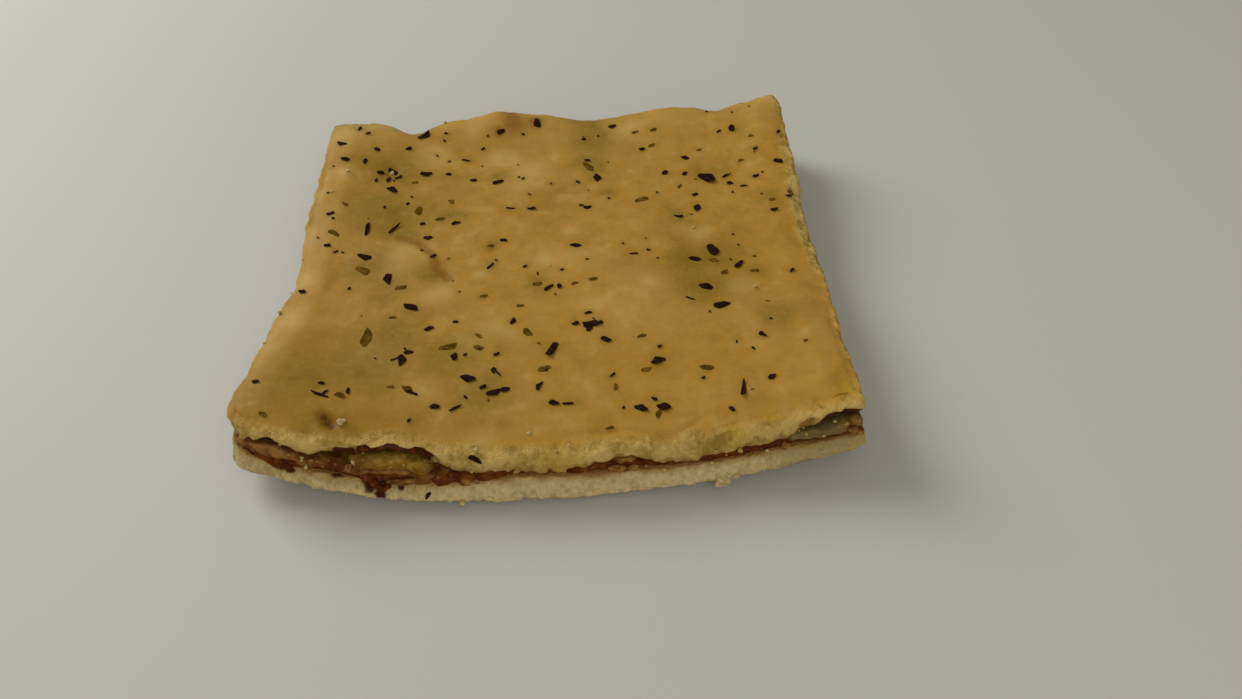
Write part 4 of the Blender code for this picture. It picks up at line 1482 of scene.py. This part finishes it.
def lumps(name, places):
    """Moist lumps that hang on the front cut, sunk into it."""
    draw = random.Random(SHAPE_SEEDS[name])
    whole = bmesh.new()
    for x, height, half_width, half_height, depth in places:
        across = np.array((x / HALF_WIDTH,))
        front = (front_line(across) + front_inset(across, height / CRUST_HEIGHT))[0] + LUMP_SUNK
        lift = curl(np.array((x,)), np.array((front,)))[0]
        place = Vector((x, front, height + lift))
        shift = random_shift(draw)
        for point in bmesh.ops.create_icosphere(whole, subdivisions=4, radius=1)["verts"]:
            swell = 1 + 0.35 * noise.noise(point.co * 1.3 + shift) + 0.12 * noise.noise(point.co * 4 + shift)
            point.co = point.co * swell * Vector((half_width, depth, half_height)) + place
    return finished(name, whole)


class PIZZASLICE_OT_filling(bpy.types.Operator):
    """Make the tomato sauce, the ham and the melted cheese"""

    bl_idname = "pizza_slice.filling"
    bl_label = "Filling"

    def execute(self, context):
        filling = context.scene.pizza_slice_filling
        tomato, ham, cheese = (
            moist_material(name, getattr(filling, name), getattr(filling, f"{name}_dark"))
            for name in FINISHES
        )
        sauce = filling_layer(
            "tomato_layer", (0.43, 0.48), lambda x, y: base_top(x, y) - 0.0002,
            lambda x, y: sauce_top(x, y) + GAP + 0.0002, sauce_shows, 0.0001, 0.0006, sauce_drop,
        )
        add_piece("tomato_layer", sauce, tomato, "tomato", "tomato_sauce")
        slices = filling_layer(
            "ham_layer", (0.51, 0.55), lambda x, y: sauce_top(x, y) - 0.0001,
            lambda x, y: ham_top(x, y) + 0.0003, ham_shows, 0.0004, 0.0010,
        )
        add_piece("ham_layer", slices, ham, "ham", "ham")
        melted = filling_layer(
            "cheese_layer", (0.57, 0.62), lambda x, y: ham_top(x, y) - 0.0001,
            cheese_top, cheese_shows, 0.0005, 0.0012,
        )
        add_piece("cheese_layer", melted, cheese, "cheese", "cheese")
        add_piece("tomato_lumps", lumps("tomato_lumps", SAUCE_LUMPS), tomato, "tomato")
        add_piece("ham_lumps", lumps("ham_lumps", HAM_LUMPS), ham, "ham")
        return {"FINISHED"}


# Herbs


def in_field(x, y):
    least_x, most_x, least_y, most_y = HERB_FIELD
    return min(max(x, least_x), most_x), min(max(y, least_y), most_y)


def placed(x, y, length, turn, kind):
    """A flake as (x, y, length, width, turn, kind), from the values of a table's row."""
    return x, y, length, length * HERB_WIDTHS[kind], math.radians(turn), kind


def herb_flakes(herbs):
    """Every flake as (x, y, length, width, turn, kind), first those of the solids."""
    draw = random.Random(herbs.seed)
    flakes, around = [], []
    for x, y, length, turn, kind, companions in HERBS:
        flakes.append(placed(x, y, length, turn, kind))
        for _ in range(companions):
            spot = draw.gauss(x, SMALL_HERB_SPREAD), draw.gauss(y, SMALL_HERB_SPREAD)
            around.append(in_field(*spot))
    least_x, most_x, least_y, most_y = HERB_FIELD
    taken = around + [flake[:2] for flake in flakes]
    singles = []
    while len(singles) < herbs.singles:
        spot = draw.uniform(least_x, most_x), draw.uniform(least_y, most_y)
        if all(math.dist(spot, other) > HERB_SPACING for other in taken + singles):
            singles.append(spot)
    shortest, longest = SMALL_HERB_LENGTH
    for x, y in around + singles:
        length = shortest + (longest - shortest) * draw.random() ** 1.8
        kind = "dark" if draw.random() < SMALL_HERBS_DARK else "olive"
        width = length * HERB_WIDTHS[kind] * draw.uniform(0.7, 1.3)
        flakes.append((x, y, length, width, draw.uniform(0, math.pi), kind))
    flakes.sort(key=lambda flake: -flake[2])
    tiny = [flake for flake in flakes[SOLID_HERBS:] if flake[2] < TINY_HERB]
    named = [placed(*row) for row in MORE_HERBS]
    return flakes[:SOLID_HERBS] + named + tiny


def flake_outline(draw, points):
    """A chip's outline: a tip at each end, one or two corners on each side, and slightly bent edges."""
    angles = [draw.uniform(-0.25, 0.25), math.pi + draw.uniform(-0.25, 0.25)]
    for start in (0, math.pi):
        if draw.random() < 0.5:
            angles.append(start + math.pi * draw.uniform(0.3, 0.7))
        else:
            angles += [start + math.pi * draw.uniform(*part) for part in ((0.12, 0.38), (0.62, 0.88))]
    angles.sort()
    tips = [Vector((math.cos(a), math.sin(a))) * 0.5 * draw.uniform(0.85, 1.15) for a in angles]
    outline = []
    for number, tip in enumerate(tips):
        following = tips[(number + 1) % len(tips)]
        dent = draw.uniform(-0.12, 0.06)
        for step in range(points):
            share = step / points
            middle = tip.lerp(following, share)
            outline.append(middle * (1 + dent * math.sin(math.pi * share)))
    count = len(outline)
    return [outline[i - 1] / 4 + outline[i] / 2 + outline[(i + 1) % count] / 4 for i in range(count)]


def add_flake(whole, flake, draw, thickness, here, upright):
    """A curled chip with a ragged outline, lying on a point of the slice. A thin one lies flatter."""
    length, width, turn = flake
    outline = flake_outline(draw, 4)
    curled = thickness / CURLED_THICKNESS
    bend_long, bend_wide = curled * draw.uniform(-0.10, 0.24), curled * draw.uniform(-0.12, 0.20)
    lean = curled * draw.uniform(-0.10, 0.10)
    place = (
        Matrix.Translation(here + upright * curled * 0.00010)
        @ Vector((0, 0, 1)).rotation_difference(upright).to_matrix().to_4x4()
        @ Matrix.Rotation(turn, 4, "Z")
    )
    rings = []
    for side in (1, 0):
        for share in (1.0, 0.55):
            ring = []
            for tip in outline:
                u, v = tip.x * share, tip.y * share
                height = length * (bend_long * u * u * 2 + bend_wide * v * v * 2 + lean * u)
                height += thickness * (side + 0.35 * draw.uniform(-1, 1) * share)
                ring.append(whole.verts.new(place @ Vector((u * length, v * width, height))))
            rings.append(ring)
    upper, upper_inner, lower, lower_inner = rings
    count = len(outline)
    for i in range(count):
        j = (i + 1) % count
        whole.faces.new((upper[i], upper[j], upper_inner[j], upper_inner[i]))
        whole.faces.new((lower[j], lower[i], lower_inner[i], lower_inner[j]))
        whole.faces.new((lower[i], lower[j], upper[j], upper[i]))
    whole.faces.new(upper_inner)
    whole.faces.new(lower_inner[::-1])


def herb_mesh(name, flakes, thickness, on_cut=()):
    """The flakes of one kind, on the crust and on the front cut."""
    draw = random.Random(SHAPE_SEEDS[name])
    whole = bmesh.new()
    for x, y, length, width, turn, _ in flakes:
        add_flake(whole, (length, width, turn), draw, thickness, *crust_place(x, y))
    for x, level, length, turn in on_cut:
        here = cut_place(x / HALF_WIDTH, -1, level)
        here.y -= CUT_FLAKE_STANDS_OUT
        add_flake(whole, (length, 0.5 * length, turn), draw, thickness, here, OUT_OF_CUT)
    bmesh.ops.recalc_face_normals(whole, faces=list(whole.faces))
    mesh = finished(name, whole)
    mesh.set_sharp_from_angle(angle=FLAKE_SHARP_FROM)
    return mesh


class PIZZASLICE_OT_herbs(bpy.types.Operator):
    """Scatter the dried herb flakes on the crust"""

    bl_idname = "pizza_slice.herbs"
    bl_label = "Herbs"

    def execute(self, context):
        herbs = context.scene.pizza_slice_herbs
        flakes = herb_flakes(herbs)
        dark = [flake for flake in flakes if flake[5] != "olive"]
        olive = [flake for flake in flakes if flake[5] == "olive"]
        dark_look = herb_material("dark_herbs", herbs.dark, 1.8, 1.0)
        olive_look = herb_material("olive_herbs", herbs.olive, 1.3, 0.6)
        dark_mesh = herb_mesh("dark_herbs", dark, herbs.thickness, FLAKES_ON_CUT)
        olive_mesh = herb_mesh("olive_herbs", olive, herbs.olive_thickness)
        add_piece("dark_herbs", dark_mesh, dark_look, "herbs")
        add_piece("olive_herbs", olive_mesh, olive_look, "herbs")
        return {"FINISHED"}


# Stage


class PIZZASLICE_OT_stage(bpy.types.Operator):
    """Set up the pale floor, the soft light and the camera"""

    bl_idname = "pizza_slice.stage"
    bl_label = "Stage"

    def execute(self, context):
        stage = context.scene.pizza_slice_stage
        block = bmesh.new()
        bmesh.ops.create_grid(block, x_segments=1, y_segments=1, size=FLOOR_SIZE)
        mesh = finished("floor", block)
        paint = Paint("floor", 0.6, 0.2)
        cloud = paint.noise(0.4, 2) * 0.3
        paint.set("Base Color", paint.mix(cloud, stage.floor, [0.94 * part for part in stage.floor]))
        mesh.materials.append(paint.material)
        floor = bpy.data.objects.new("floor", mesh)
        floor.location.z = -0.0001
        context.scene.collection.objects.link(floor)
        for light in LIGHTS:
            self.add_light(*light)
        world = bpy.data.worlds.new("studio")
        world.use_nodes = True
        background = world.node_tree.nodes["Background"].inputs
        background["Color"].default_value = WORLD_COLOUR
        background["Strength"].default_value = WORLD_STRENGTH
        context.scene.world = world
        context.scene.view_settings.view_transform = "Standard"
        self.add_camera(context, stage)
        return {"FINISHED"}

    def add_light(self, name, place, size, power):
        light = bpy.data.lights.new(name, "AREA")
        light.shape = "DISK"
        light.size = size
        light.energy = power
        lamp = bpy.data.objects.new(name, light)
        lamp.location = place
        lamp.rotation_euler = Vector(place).to_track_quat("Z", "Y").to_euler()
        bpy.context.scene.collection.objects.link(lamp)

    def add_camera(self, context, stage):
        """The camera looks along +Y and down by its pitch, and leans by its roll."""
        camera = bpy.data.objects.new("camera", bpy.data.cameras.new("camera"))
        camera.data.lens = stage.lens
        camera.data.sensor_width = 36
        camera.data.clip_start = 0.01
        turn = Matrix.Rotation(math.pi / 2 - stage.camera_pitch, 4, "X")
        lean = Matrix.Rotation(-stage.camera_roll, 4, "Z")
        camera.matrix_world = Matrix.Translation(stage.camera_place) @ turn @ lean
        context.scene.collection.objects.link(camera)
        context.scene.camera = camera


class PIZZASLICE_PT_panel(bpy.types.Panel):
    """The slice's parts and their settings"""

    bl_idname = "PIZZASLICE_PT_panel"
    bl_label = "Stuffed pizza slice"
    bl_space_type = "VIEW_3D"
    bl_region_type = "UI"
    bl_category = "Pizza slice"

    def draw(self, context):
        for part in ("bread", "filling", "herbs", "stage"):
            box = self.layout.box()
            settings = getattr(context.scene, f"pizza_slice_{part}")
            for name in settings.__annotations__:
                box.prop(settings, name)
            box.operator(f"pizza_slice.{part}")


SETTINGS = {
    "pizza_slice_bread": PizzaSliceBread,
    "pizza_slice_filling": PizzaSliceFilling,
    "pizza_slice_herbs": PizzaSliceHerbs,
    "pizza_slice_stage": PizzaSliceStage,
}
OTHER_CLASSES = (
    PIZZASLICE_OT_bread,
    PIZZASLICE_OT_filling,
    PIZZASLICE_OT_herbs,
    PIZZASLICE_OT_stage,
    PIZZASLICE_PT_panel,
)


def register():
    for name, group in SETTINGS.items():
        bpy.utils.register_class(group)
        setattr(bpy.types.Scene, name, PointerProperty(type=group))
    for made in OTHER_CLASSES:
        bpy.utils.register_class(made)


def unregister():
    for made in reversed(OTHER_CLASSES):
        bpy.utils.unregister_class(made)
    for name, group in SETTINGS.items():
        delattr(bpy.types.Scene, name)
        bpy.utils.unregister_class(group)


def main():
    register()
    bpy.ops.pizza_slice.bread()
    bpy.ops.pizza_slice.filling()
    bpy.ops.pizza_slice.herbs()
    bpy.ops.pizza_slice.stage()


if __name__ == "__main__":
    main()
